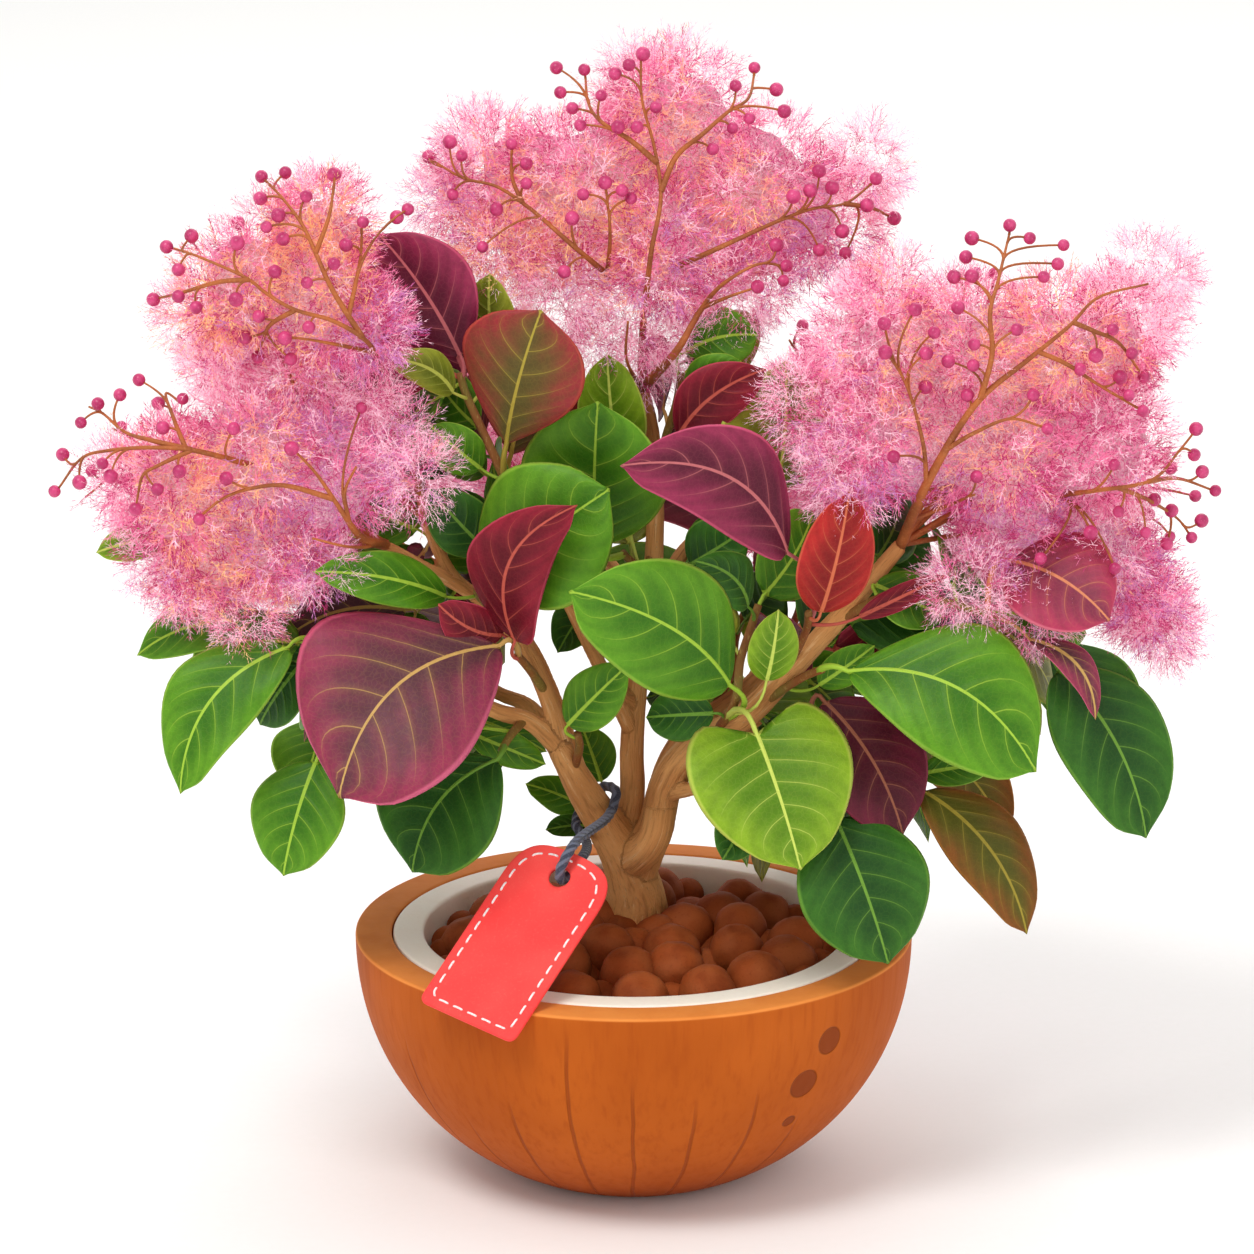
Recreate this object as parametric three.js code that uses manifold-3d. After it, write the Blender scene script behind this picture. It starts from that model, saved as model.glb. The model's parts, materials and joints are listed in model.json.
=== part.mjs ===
// A smoke bush that grows in half a coconut: a short forked trunk, tapering boughs, big rounded
// leaves, pink plumes of "smoke" with round fruit on their sprigs, and a swing tag on a cord loop.
// Millimetres, +Z up. The origin is the middle of the pot's flat underside; the front faces -Y.
import * as THREE from "three";
import { mergeVertices } from "three/addons/utils/BufferGeometryUtils.js";
import Module from "manifold-3d";

const wasm = await Module();
wasm.setup();

// Driving dimensions: half a large coconut, 138 mm across.
const POT_RADIUS = 69;
const POT_HEIGHT = 61;
const BOWL_DEPTH = 65.6; // of the whole bowl, before its foot is cut flat
const BOWL_FULLNESS = 2.1; // 2 is a true ellipsoid; more is fuller at the foot
const HUSK_THICKNESS = 9;
const FLESH_THICKNESS = 8;
const SOIL_LEVEL = POT_HEIGHT - 6;
const PELLET_RADIUS = 7.4;
const CLEAR = 0.3; // between any two pieces that touch on the real plant

// Leaves that fill the crown's middle, smoke and fruit.
const INNER_LEAVES = 1; // on each stem of a pair, where one of the tries finds room
const INNER_TRIES = 12;
const INNER_LENGTH = 26;
const SMOKE_LEAST = 9; // the core's least reach from its middle
const TUFT_JITTER = 1.6; // how far tufts stand out or dip in
const SMOKE_SHRINK = 0.94; // a core that would touch another piece shrinks by this until it is clear
const FRUIT_RADIUS = 1.75;

// The viewer's place, from which points are measured off.
const VIEW_TILT = THREE.MathUtils.degToRad(18.5);
const VIEW_DISTANCE = 1400;

// A point as the viewer sees it: across and up from the middle of the rim, and back behind the trunk.
function seen(across, up, back) {
  const [sine, cosine] = [Math.sin(VIEW_TILT), Math.cos(VIEW_TILT)];
  const near = (sine * up - back) / (cosine + (sine * up) / VIEW_DISTANCE);
  const shrink = 1 - near / VIEW_DISTANCE;
  return new THREE.Vector3(across * shrink, back, POT_HEIGHT + cosine * up * shrink + sine * near);
}

// The far half of the plant repeats the near half behind the trunk, falling away towards the back.
const TWIN_FALL = 210;
const TWIN_SIZE = 0.92;
const twinOf = (p) =>
  new THREE.Vector3(p.x, -p.y, POT_HEIGHT + (p.z - POT_HEIGHT) * (1 - Math.abs(p.y) / TWIN_FALL));

// A small seeded generator of numbers from 0 to 1, so that every build is the same.
function seeded(seed) {
  let state = seed >>> 0;
  return () => {
    state = (Math.imul(state, 1664525) + 1013904223) >>> 0;
    return state / 4294967296;
  };
}

// Solids and meshes

function solidOf(geometry) {
  const bare = new THREE.BufferGeometry().setAttribute("position", geometry.getAttribute("position"));
  if (geometry.index) bare.setIndex(geometry.index);
  const merged = mergeVertices(bare, 1e-4);
  return new wasm.Manifold(
    new wasm.Mesh({
      numProp: 3,
      vertProperties: new Float32Array(merged.attributes.position.array),
      triVerts: new Uint32Array(merged.index.array),
    }),
  );
}

function geometryOf(solid) {
  const mesh = solid.getMesh();
  return new THREE.BufferGeometry()
    .setAttribute("position", new THREE.BufferAttribute(new Float32Array(mesh.vertProperties), 3))
    .setIndex(new THREE.BufferAttribute(new Uint32Array(mesh.triVerts), 1));
}

const fused = (solids) => solids.reduce((whole, solid) => whole.add(solid));

// The largest body of a solid: a boolean can leave a loose scrap beside it.
function mainBody(solid) {
  return solid.decompose().reduce((best, body) => (body.volume() > best.volume() ? body : best));
}

// A smooth curve through points.
const curveThrough = (points) => new THREE.CatmullRomCurve3(points, false, "centripetal");

// A tapering limb: a cylinder bent along a curve, with radiusAt(t) for t from 0 to 1. overrun
// lengthens it past the curve's end.
function limbGeometry(curve, radiusAt, sides, steps, overrun = 0) {
  const frames = curve.computeFrenetFrames(steps, false);
  const geometry = new THREE.CylinderGeometry(1, 1, 1, sides, steps);
  const position = geometry.getAttribute("position");
  for (let i = 0; i < position.count; i++) {
    const t = THREE.MathUtils.clamp(0.5 - position.getY(i), 0, 1);
    const station = Math.round(t * steps);
    const across = new THREE.Vector3()
      .addScaledVector(frames.normals[station], position.getX(i))
      .addScaledVector(frames.binormals[station], position.getZ(i));
    const place = curve.getPointAt(t).addScaledVector(across, radiusAt(t));
    if (station === steps) place.addScaledVector(frames.tangents[station], overrun);
    position.setXYZ(i, place.x, place.y, place.z);
  }
  return geometry;
}

const taper = (from, to) => (t) => from + (to - from) * t;

// Pot and soil

// The radius of the bowl's outside, less a wall, at a depth below the rim.
function bowlRadius(depth, wall) {
  const share = Math.min(depth / (BOWL_DEPTH - wall), 1);
  return (POT_RADIUS - wall) * (1 - share ** BOWL_FULLNESS) ** (1 / BOWL_FULLNESS);
}

// Points of a bowl's outline from the rim down to a depth, evenly turned so that the foot stays round.
function bowlOutline(wall, fromDepth, toDepth, steps) {
  const deepest = BOWL_DEPTH - wall;
  const [first, last] = [Math.asin(fromDepth / deepest), Math.asin(Math.min(toDepth / deepest, 1))];
  return Array.from({ length: steps + 1 }, (_, i) => {
    const depth = deepest * Math.sin(first + ((last - first) * i) / steps);
    const onAxis = last > 1.57 && i === steps;
    return new THREE.Vector2(onAxis ? 0 : bowlRadius(depth, wall), POT_HEIGHT - depth);
  });
}

const POT_SIDES = 32;
const INSIDE_STEPS = 4;
const turned = (outline) => new THREE.LatheGeometry(outline, POT_SIDES).rotateX(Math.PI / 2);

function huskGeometry() {
  const outside = bowlOutline(0, 0, POT_HEIGHT, 6).reverse();
  const inside = bowlOutline(HUSK_THICKNESS, 0, BOWL_DEPTH - HUSK_THICKNESS, INSIDE_STEPS);
  return turned([new THREE.Vector2(0, 0), ...outside, ...inside]);
}

function fleshGeometry() {
  const outer = HUSK_THICKNESS + CLEAR;
  const inner = HUSK_THICKNESS + FLESH_THICKNESS;
  const outside = bowlOutline(outer, 0, BOWL_DEPTH - outer, INSIDE_STEPS).reverse();
  const inside = bowlOutline(inner, 0, BOWL_DEPTH - inner, INSIDE_STEPS);
  return turned([...outside, ...inside]);
}

// Rings of clay pellets heaped round the trunk: [distance from the middle, how many, lift].
const PELLET_RINGS = [
  [14, 6, 4],
  [27, 10, 3.4],
  [40.5, 15, 0.8],
];

function soilSolid() {
  const wall = HUSK_THICKNESS + FLESH_THICKNESS + CLEAR;
  const inside = bowlOutline(wall, 0, BOWL_DEPTH - wall, INSIDE_STEPS).reverse();
  const above = new THREE.BoxGeometry(3 * POT_RADIUS, 3 * POT_RADIUS, POT_HEIGHT);
  above.translate(0, 0, SOIL_LEVEL + POT_HEIGHT / 2);
  const bed = solidOf(turned([...inside, new THREE.Vector2(0, POT_HEIGHT)])).subtract(solidOf(above));
  const random = seeded(11);
  const pellets = [];
  for (const [distance, count, lift] of PELLET_RINGS)
    for (let k = 0; k < count; k++) {
      const angle = (2 * Math.PI * (k + 0.5 * random())) / count;
      const pellet = new THREE.IcosahedronGeometry(PELLET_RADIUS * (0.92 + 0.16 * random()), 0);
      pellet.rotateX(6.28 * random()).rotateZ(6.28 * random());
      const height = SOIL_LEVEL + lift * (0.6 + 0.4 * random());
      pellet.translate(distance * Math.cos(angle), distance * Math.sin(angle), height);
      pellets.push(solidOf(pellet));
    }
  return fused([bed, ...pellets]);
}

// Trunk and boughs: each has a parent, the share of the parent's length where it leaves it, points as
// they are seen, its radius at both ends, and whether the far half has a twin of it.
const LIMBS = [
  {
    name: "trunk",
    points: [[0, 0.2, 13], [0.2, 9, 12], [-2.2, 17, 9], [-6.8, 25, 5], [-12.4, 33.6, 0], [-18.4, 44.2, -7]],
    radii: [6.8, 3.1],
    flare: 3.8,
  },
  {
    name: "bough_right",
    parent: "trunk",
    at: 0.2,
    twinAt: 0.3,
    points: [[5.4, 25, 3], [8.5, 36.5, -4], [14, 44, -10], [28, 52.5, -18], [40, 65, -23], [53, 79, -26], [66.5, 95, -28]],
    radii: [4.9, 1.9],
  },
  {
    name: "bough_right_low",
    parent: "bough_right",
    at: 0.24,
    twinAt: 0.24,
    points: [[17, 35, -15], [27, 39, -25], [38, 41, -30]],
    radii: [2, 1.3],
  },
  {
    name: "bough_centre",
    parent: "trunk",
    at: 0.36,
    points: [[-0.4, 33, 10], [-0.5, 44, 9], [1, 64, 7], [5, 92, 4], [4.6, 122, 2], [2, 134, 2]],
    radii: [3.4, 1.8],
  },
  {
    name: "bough_centre_left",
    parent: "bough_centre",
    at: 0.26,
    twinAt: 0.32,
    points: [[-6, 60, 0], [-12, 72, -6], [-22, 92, -12], [-31, 107, -15]],
    radii: [2.2, 1.4],
  },
  {
    name: "bough_left",
    parent: "trunk",
    at: 0.98,
    twinAt: 0.86,
    points: [[-26, 51, -11], [-34, 53.5, -15], [-45, 59, -19], [-55, 64.5, -21]],
    radii: [2.5, 1.5],
  },
  {
    name: "bough_left_upper",
    parent: "trunk",
    at: 0.9,
    twinAt: 0.7,
    points: [[-21, 56, -9], [-26, 67, -10], [-34, 78, -12], [-45, 87, -15], [-52, 101, -18]],
    radii: [2.6, 1.5],
  },
  {
    name: "bough_left_outer",
    parent: "bough_left_upper",
    at: 0.68,
    twinAt: 0.68,
    points: [[-53, 90, -20], [-62, 95, -23]],
    radii: [1.7, 1.3],
  },
  {
    name: "bough_back_left",
    parent: "bough_centre",
    at: 0.44,
    points: [[-2, 84, 18], [-12, 97, 36], [-22, 106, 52]],
    radii: [2.1, 1.4],
  },
  {
    name: "bough_back_right",
    parent: "bough_centre",
    at: 0.52,
    points: [[13, 94, 17], [24, 102, 34], [34, 106, 50]],
    radii: [2.1, 1.4],
  },
];

// Leaf masses: a stem that leaves its bough, and the large leaves that show. Each has its blade's base
// and tip as they are seen, its breadth, and where its stalk leaves the stem. belly is where it is
// broadest, bend how far the midrib swings aside, arch how far it bows, heart how far its lobes reach
// back, turn a twist of the blade about its midrib in degrees.
const LEAF_MASSES = [
  {
    name: "leaves_left_outer",
    parent: "bough_left",
    at: 1,
    twin: true,
    stem: [[-60, 66, -24], [-70, 68.5, -27], [-79, 70, -29]],
    leaves: [
      { base: [-86, 69.5, -36], tip: [-112.7, 32.8, -48], breadth: 23, bend: 0.15, at: 0.95 },
      { base: [-83, 65, -25], tip: [-93, 50, -22], breadth: 15, at: 0.8 },
      { base: [-56.6, 78.7, -18], tip: [-87, 71.3, -16], breadth: 15, belly: 0.5, bend: 0.1, at: 0.35 },
      { base: [-79, 41, -34], tip: [-87, 12.5, -42], breadth: 24, at: 0.55 },
      { base: [-92, 75, -7], tip: [-123.7, 67.3, -5], breadth: 14, bend: 0.1, at: 0.97 },
    ],
  },
  {
    name: "leaves_left_under",
    parent: "bough_left",
    at: 0.3,
    twin: true,
    stem: [[-31, 47, -20], [-33, 43.5, -23]],
    leaves: [
      { base: [-34, 41.5, -26], tip: [-55, 13.4, -38], breadth: 33, belly: 0.55, bend: 0.13, at: 0.9 },
      { base: [-41.5, 48.5, -11], tip: [-21.8, 40.3, -8], breadth: 9, at: 0.5 },
    ],
  },
  {
    name: "leaves_left_front",
    parent: "bough_left_upper",
    at: 0.28,
    twin: true,
    stem: [[-26, 64, -18], [-29, 67.5, -25]],
    leaves: [
      { base: [-33.5, 69.8, -34], tip: [-73.3, 31.8, -60], breadth: 49, belly: 0.56, bend: 0.16, arch: 0.1, at: 0.95 },
      { base: [-29.6, 71, -32], tip: [-13.9, 105, -46], breadth: 21, belly: 0.38, bend: -0.2, at: 0.9 },
      { base: [-32.5, 72.5, -29], tip: [-48.8, 80.3, -36], breadth: 12, bend: -0.1, at: 0.9 },
    ],
  },
  {
    name: "leaves_left_mid",
    parent: "bough_left_upper",
    at: 0.62,
    twin: true,
    stem: [[-39, 83, -19], [-37.5, 84, -22]],
    leaves: [
      { base: [-46.5, 82, -24], tip: [-80, 88.3, -42], breadth: 13, bend: 0.04, at: 0.6 },
      { base: [-36.6, 86, -25], tip: [-5.9, 109, -36], breadth: 36, belly: 0.5, at: 0.95 },
      { base: [-36, 93, -18], tip: [-51, 109, -20], breadth: 15, at: 0.8 },
    ],
  },
  {
    name: "leaves_upper_left",
    parent: "bough_centre_left",
    at: 1,
    twin: true,
    stem: [[-32.5, 112, -17], [-38, 124, -18], [-42, 133, -18], [-43.5, 138, -18]],
    leaves: [
      { base: [-31.8, 120.2, -22], tip: [-23.1, 153.8, -32], breadth: 32, belly: 0.63, at: 0.12 },
      { base: [-43.2, 142, -18], tip: [-64, 173, -14], breadth: 25, belly: 0.5, bend: 0.06, at: 0.95 },
      { base: [-45, 133, -22], tip: [-62, 141.5, -32], breadth: 9.5, bend: 0.12, at: 0.8 },
      { base: [-38, 114, -17], tip: [-51, 125, -22], breadth: 12, at: 0.15 },
      { base: [-35, 144, -12], tip: [-36, 163, -14], breadth: 13, at: 0.75 },
    ],
  },
  {
    name: "leaves_centre",
    parent: "bough_centre",
    at: 0.56,
    twinAt: 0.66,
    twin: true,
    stem: [[2, 88, -1], [-3, 93, -5]],
    leaves: [
      { base: [-9.5, 95, -13], tip: [-9, 131, -24], breadth: 36, belly: 0.52, at: 0.95 },
      { base: [-3.7, 115, -5], tip: [-6.7, 143, -9], breadth: 17, at: 0.6 },
      { base: [-9, 82, 6], tip: [-19, 68, 4], breadth: 14, at: 0.8 },
      { base: [14, 90, -9], tip: [28, 99, -13], breadth: 16, at: 0.3 },
    ],
  },
  {
    name: "leaves_centre_front",
    parent: "bough_right",
    at: 0.45,
    twin: true,
    stem: [[25.5, 57, -28], [26.5, 66, -31], [29, 74, -32], [31, 80, -32]],
    leaves: [
      { base: [23.9, 60, -38], tip: [-16.3, 83.4, -62], breadth: 31, belly: 0.5, bend: 0.08, arch: 0.1, at: 0.2 },
      { base: [33, 61, -38], tip: [36, 79, -42], breadth: 12.5, at: 0.3 },
      { base: [28.5, 79.5, -37], tip: [15, 91, -48], breadth: 12, bend: 0.12, at: 0.9 },
      { base: [30.5, 49.5, -40], tip: [41.5, 14, -58], breadth: 39, belly: 0.4, heart: 0.1, at: 0.2 },
      { base: [20, 53, -24], tip: [3, 52, -16], breadth: 13, at: 0.2 },
    ],
  },
  {
    name: "leaves_top_right",
    parent: "bough_centre",
    at: 0.78,
    twinAt: 0.86,
    twin: true,
    stem: [[8, 122, -5], [10.5, 130, -8], [12, 138, -8]],
    leaves: [
      { base: [12.5, 143, -9], tip: [31, 147.5, -13], breadth: 14, belly: 0.6, bend: -0.08, at: 0.95 },
      { base: [13, 133, -12], tip: [27, 141, -16], breadth: 12, at: 0.75 },
      { base: [11, 122, -14], tip: [33, 139, -19], breadth: 15, bend: -0.1, at: 0.35 },
      { base: [35.6, 109.3, -8], tip: [37.7, 141, -12], breadth: 34, belly: 0.5, at: 0.3 },
    ],
  },
  {
    name: "leaves_right_front",
    parent: "bough_right",
    at: 0.64,
    twin: true,
    stem: [[43, 74, -32], [43.5, 78, -38]],
    leaves: [
      { base: [38.3, 93, -48], tip: [-3.6, 114.7, -70], breadth: 24, bend: 0.17, arch: 0.08, at: 0.6 },
      { base: [46.5, 78, -43], tip: [53.7, 108.5, -50], breadth: 18.5, belly: 0.45, at: 0.95 },
      { base: [56, 77, -36], tip: [77.7, 87.5, -38], breadth: 6, at: 0.8 },
    ],
  },
  {
    name: "leaves_right",
    parent: "bough_right",
    at: 0.54,
    twin: true,
    stem: [[42, 62, -29], [47, 64, -34]],
    leaves: [
      { base: [53.4, 63.5, -40], tip: [100.1, 38.4, -56], breadth: 34, belly: 0.55, bend: -0.15, arch: 0.1, at: 0.95 },
      { base: [46, 60, -28], tip: [60, 70, -31], breadth: 9, at: 0.5 },
    ],
  },
  {
    name: "leaves_right_outer",
    parent: "bough_right",
    at: 0.8,
    twin: true,
    stem: [[66, 83, -34], [80, 80, -37], [93, 76, -38]],
    leaves: [
      { base: [96, 89, -42], tip: [114.4, 73, -50], breadth: 25, bend: -0.12, at: 0.9 },
      { base: [98.5, 71.5, -42], tip: [114.8, 51.3, -50], breadth: 8, bend: -0.18, at: 0.95 },
      { base: [105.7, 64, -34], tip: [127.3, 21.9, -42], breadth: 29, bend: -0.06, at: 0.95 },
      { base: [60, 85, -30], tip: [77.5, 76.5, -30], breadth: 14, at: 0.3 },
    ],
  },
  {
    name: "leaves_right_low",
    parent: "bough_right_low",
    at: 1,
    twin: true,
    stem: [[44, 41, -33], [55, 38, -34], [64, 36, -33]],
    leaves: [
      { base: [47.4, 56, -30], tip: [66.9, 22.7, -40], breadth: 28, bend: -0.05, at: 0.2 },
      { base: [50, 27, -42], tip: [63.2, -9.3, -54], breadth: 33, belly: 0.46, at: 0.5 },
      { base: [72, 33.7, -32], tip: [97.6, -1.9, -42], breadth: 19.5, bend: -0.09, at: 0.95 },
      { base: [71, 38, -25], tip: [90, 41, -21], breadth: 9, at: 0.9 },
      { base: [29, 29, -34], tip: [22, 16.5, -42], breadth: 12, at: 0.3 },
    ],
  },
  {
    name: "leaves_fork",
    parent: "trunk",
    at: 0.85,
    stem: [[-13.5, 45, -14], [-14, 48, -18]],
    leaves: [{ base: [-16.5, 50, -20], tip: [-1.5, 65, -26], breadth: 14, at: 0.9 }],
  },
  {
    name: "leaves_low",
    parent: "trunk",
    at: 0.28,
    stem: [[-5, 24, 16], [-8, 30, 20]],
    leaves: [
      { base: [-8, 36, 21], tip: [-13, 50, 22], breadth: 12, at: 0.9 },
      { base: [-11, 29, 22], tip: [-27, 35.5, 24], breadth: 11, at: 0.9 },
      { base: [-10, 25, 18], tip: [-22, 24, 20], breadth: 8, at: 0.6 },
    ],
  },
];

const LEAF_THICKNESS = 0.9;
const STALK_RADIUS = 0.7;
const STEM_RADIUS = 1.2;
const GROWTH_CENTRE = new THREE.Vector3(0, 0, 110);

// The way a blade faces: out from the middle of the plant, upwards, and towards the nearer side.
function facing(base, tip, turn) {
  const middle = base.clone().lerp(tip, 0.5);
  const outward = middle.clone().sub(GROWTH_CENTRE).setZ(0).normalize();
  const hint = new THREE.Vector3(0, Math.sign(middle.y) * 1.1, 0.55).addScaledVector(outward, 0.5);
  const along = tip.clone().sub(base).normalize();
  const normal = hint.addScaledVector(along, -hint.dot(along)).normalize();
  return normal.applyAxisAngle(along, THREE.MathUtils.degToRad(turn));
}

// Half the breadth at a share of the length, from 0 at the base to 1 at the belly and back to 0.
const bladeOutline = (t, belly) => Math.sin(Math.PI * t ** (Math.log(0.5) / Math.log(belly))) ** 0.62;

// Where the rings of a leaf lie: its root sunk in the stem, the stalk, then shares of the blade.
const LEAF_STATIONS = ["root", "stalk", 0.03, 0.22, 0.52, 0.82, 1];

// A leaf is a sphere of three meridians drawn out along its stalk and midrib: two edges and a ridge.
function leafSolid(root, leaf) {
  const { base, tip, breadth, belly = 0.46, bend = 0, arch = 0.08, heart = 0, turn = 0, side = 1 } = leaf;
  const along = tip.clone().sub(base);
  const length = along.length();
  along.normalize();
  const normal = facing(base, tip, turn * side);
  const across = new THREE.Vector3().crossVectors(normal, along);
  const geometry = new THREE.SphereGeometry(1, 3, LEAF_STATIONS.length - 1);
  const position = geometry.getAttribute("position");
  for (let i = 0; i < position.count; i++) {
    const polar = Math.acos(THREE.MathUtils.clamp(position.getY(i), -1, 1));
    const station = LEAF_STATIONS[Math.round((polar / Math.PI) * (LEAF_STATIONS.length - 1))];
    const isPole = Math.sin(polar) < 1e-3;
    const meridian = Math.round(Math.atan2(position.getZ(i), -position.getX(i)) / (Math.PI / 1.5));
    const v = isPole || meridian === 1 ? 0 : meridian === 0 ? -1 : 1;
    const lift = isPole ? 0 : meridian === 1 ? 1 : 0;
    const isStalk = typeof station === "string";
    const t = isStalk ? 0 : station;
    const hump = 4 * t * (1 - t);
    const half = isStalk || t < 0.1 ? STALK_RADIUS : (breadth / 2) * bladeOutline(t, belly);
    const place = base.clone();
    if (isStalk) place.lerp(root, station === "root" ? 1 : 1 - STALK_RADIUS / base.distanceTo(root));
    place
      .addScaledVector(along, length * (t - (t < 0.1 ? 0 : heart * (1 - t) ** 2 * v * v)))
      .addScaledVector(across, v * half - side * bend * length * hump)
      .addScaledVector(normal, arch * length * hump + lift * (t < 0.1 ? STALK_RADIUS : LEAF_THICKNESS));
    position.setXYZ(i, place.x, place.y, place.z);
  }
  return solidOf(geometry);
}

// Plumes of smoke: puffs as they are seen with their radii, sprigs that carry the fruit, and the stem.
const PLUMES = [
  {
    name: "plume_left_low",
    parent: "bough_left_outer",
    at: 1,
    twin: true,
    stem: [[-68, 99, -26], [-76, 104, -29]],
    puffs: [[-115, 109, -30, 19], [-95, 118, -29, 19], [-72, 114, -28, 18], [-107, 93, -25, 16],
      [-88, 96, -24, 16]],
    sprigs: [
      { path: [[-86, 109, -48], [-112, 118, -49], [-144, 115, -40]], fruit: 3 },
      { path: [[-105, 116, -48], [-118, 124, -47], [-134, 134, -40]], fruit: 3 },
    ],
    leaves: [{ base: [-114, 98, -22], tip: [-134, 93, -20], breadth: 9.5 }],
  },
  {
    name: "plume_left_high",
    parent: "bough_left_upper",
    at: 1,
    twin: true,
    stem: [[-54, 110, -20], [-58, 124, -23], [-62, 138, -26]],
    puffs: [[-78, 175, -33, 14], [-99, 160, -34, 16], [-80, 157, -34, 18], [-68, 149, -38, 12]],
    sprigs: [
      { path: [[-70, 150, -46], [-90, 161, -47], [-117, 170, -38]], fruit: 3 },
      { path: [[-72, 153, -46], [-81, 168, -45], [-93, 188, -36]], fruit: 3 },
      { path: [[-66, 149, -42], [-68, 166, -43], [-70, 181, -38]], fruit: 2 },
    ],
  },
  {
    name: "plume_top",
    parent: "bough_centre",
    at: 1,
    stem: [[2, 142, 2], [3, 160, 2], [5, 180, 2]],
    puffs: [[-36, 190, 4, 15], [-34, 176, 2, 16], [-12, 186, 0, 20], [12, 202, 4, 20], [8, 170, -2, 20],
      [32, 186, 2, 20], [48, 178, 4, 16], [-20, 176, 24, 17], [12, 182, 26, 19], [36, 172, 22, 16]],
    sprigs: [
      { path: [[-6, 165, -19], [-28, 183, -19], [-49, 192, -10]], fruit: 3 },
      { path: [[5, 184, -22], [-4, 200, -21], [-19, 215, -12]], fruit: 3 },
      { path: [[6, 188, -22], [5, 205, -18], [2, 220, -10]], fruit: 1 },
      { path: [[7, 190, -22], [20, 204, -19], [37, 210, -10]], fruit: 3 },
      { path: [[24, 171, -20], [44, 180, -21], [65, 178, -10]], fruit: 3 },
      { path: [[16, 156, -20], [36, 167, -21], [55, 168, -12]], fruit: 2 },
    ],
  },
  {
    name: "plume_right",
    parent: "bough_right",
    at: 1,
    twin: true,
    stem: [[72, 106, -30], [80, 119, -32], [88, 133, -34]],
    puffs: [[60, 146, -34, 19], [60, 122, -35, 19], [85, 145, -32, 19], [107, 146, -30, 18], [122, 150, -28, 14],
      [91, 121, -31, 21], [116, 121, -28, 20], [94, 100, -24, 15], [123, 88, -24, 11], [128, 80, -23, 12]],
    sprigs: [
      { path: [[69, 122, -48], [68, 142, -48], [62, 157, -45]], fruit: 2 },
      { path: [[74, 125, -48], [77, 144, -48], [79, 159, -45]], fruit: 2 },
      { path: [[88, 133, -49], [89, 153, -47], [94, 176, -38]], fruit: 3 },
      { path: [[90, 134, -49], [107, 148, -48], [131, 160, -42]], fruit: 3 },
      { path: [[111, 111, -45], [128, 112, -45], [145, 112, -38]], fruit: 3 },
      { path: [[112, 95, -26], [124, 88, -30], [134, 97, -38]], fruit: 2 },
    ],
  },
  {
    name: "plume_back_left",
    parent: "bough_back_left",
    at: 1,
    stem: [[-27, 111, 60], [-33, 120, 74]],
    puffs: [[-34, 130, 74, 20], [-54, 118, 84, 18], [-26, 114, 94, 20]],
    sprigs: [
      { path: [[-34, 128, 96], [-44, 136, 104], [-58, 142, 106]], fruit: 2 },
      { path: [[-30, 114, 108], [-26, 112, 116], [-20, 112, 124]], fruit: 1 },
    ],
  },
  {
    name: "plume_back_right",
    parent: "bough_back_right",
    at: 1,
    stem: [[39, 110, 58], [46, 116, 72]],
    puffs: [[44, 124, 72, 20], [64, 112, 82, 18], [36, 106, 92, 20]],
    sprigs: [
      { path: [[48, 122, 94], [58, 128, 104], [70, 132, 108]], fruit: 2 },
      { path: [[42, 108, 106], [40, 106, 114], [36, 108, 122]], fruit: 1 },
    ],
  },
];

// Where the tag hangs and leans: its hole, the middle of its lower edge, and the cord's place.
const TAG_LENGTH = 51;
const TAG_WIDTH = 26.8;
const TAG_THICKNESS = 1.2;
const TAG_HOLE_RADIUS = 2.6;
const TAG_HOLE_INSET = 7.2; // from the rounded end
const TAG_CORNER = 2.4;
const TAG_LEAN = THREE.MathUtils.degToRad(42); // the card slopes down and out over the rim
const TAG_BEARING = new THREE.Vector3(-0.25, -0.968, 0); // the way it slopes
const TAG_SWING = THREE.MathUtils.degToRad(20); // its own turn on that slope, lower end to the left
const TAG_TOUCH = new THREE.Vector3(-0.377, -0.926, 0); // where its underside meets the rim
const TAG_ABOVE = 35; // its hole is this far up the slope from there
const TAG_ASIDE = 11; // and this far to the left
const CORD_RADIUS = 1.25;
const CORD_HEIGHT = 0.62; // share of the trunk's length where the loop goes round

// The tag's frame: across, up the slope, and out of its face, with its hole's place.
function tagFrame() {
  const across = new THREE.Vector3(0, 0, 1).cross(TAG_BEARING).normalize();
  const down = TAG_BEARING.clone().multiplyScalar(Math.cos(TAG_LEAN)).setZ(-Math.sin(TAG_LEAN)).normalize();
  const normal = new THREE.Vector3().crossVectors(down, across).normalize();
  across.applyAxisAngle(normal, -TAG_SWING);
  down.applyAxisAngle(normal, -TAG_SWING);
  const hole = TAG_TOUCH.clone().multiplyScalar(POT_RADIUS).setZ(POT_HEIGHT);
  hole.addScaledVector(normal, TAG_THICKNESS + CLEAR);
  hole.addScaledVector(down, -TAG_ABOVE).addScaledVector(across, -TAG_ASIDE);
  return { across, up: down.negate(), normal, hole };
}

function tagOutline() {
  const half = TAG_WIDTH / 2;
  const [low, high] = [TAG_HOLE_INSET - TAG_LENGTH, TAG_HOLE_INSET];
  const shoulder = high - half * 0.9;
  const shape = new THREE.Shape();
  shape.moveTo(-half + TAG_CORNER, low);
  shape.lineTo(half - TAG_CORNER, low);
  shape.quadraticCurveTo(half, low, half, low + TAG_CORNER);
  shape.lineTo(half, shoulder);
  shape.bezierCurveTo(half, high - 1, half * 0.6, high, 0, high);
  shape.bezierCurveTo(-half * 0.6, high, -half, high - 1, -half, shoulder);
  shape.lineTo(-half, low + TAG_CORNER);
  shape.quadraticCurveTo(-half, low, -half + TAG_CORNER, low);
  shape.holes.push(new THREE.Path().absarc(0, 0, TAG_HOLE_RADIUS, 0, 2 * Math.PI, true));
  return shape;
}

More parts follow.
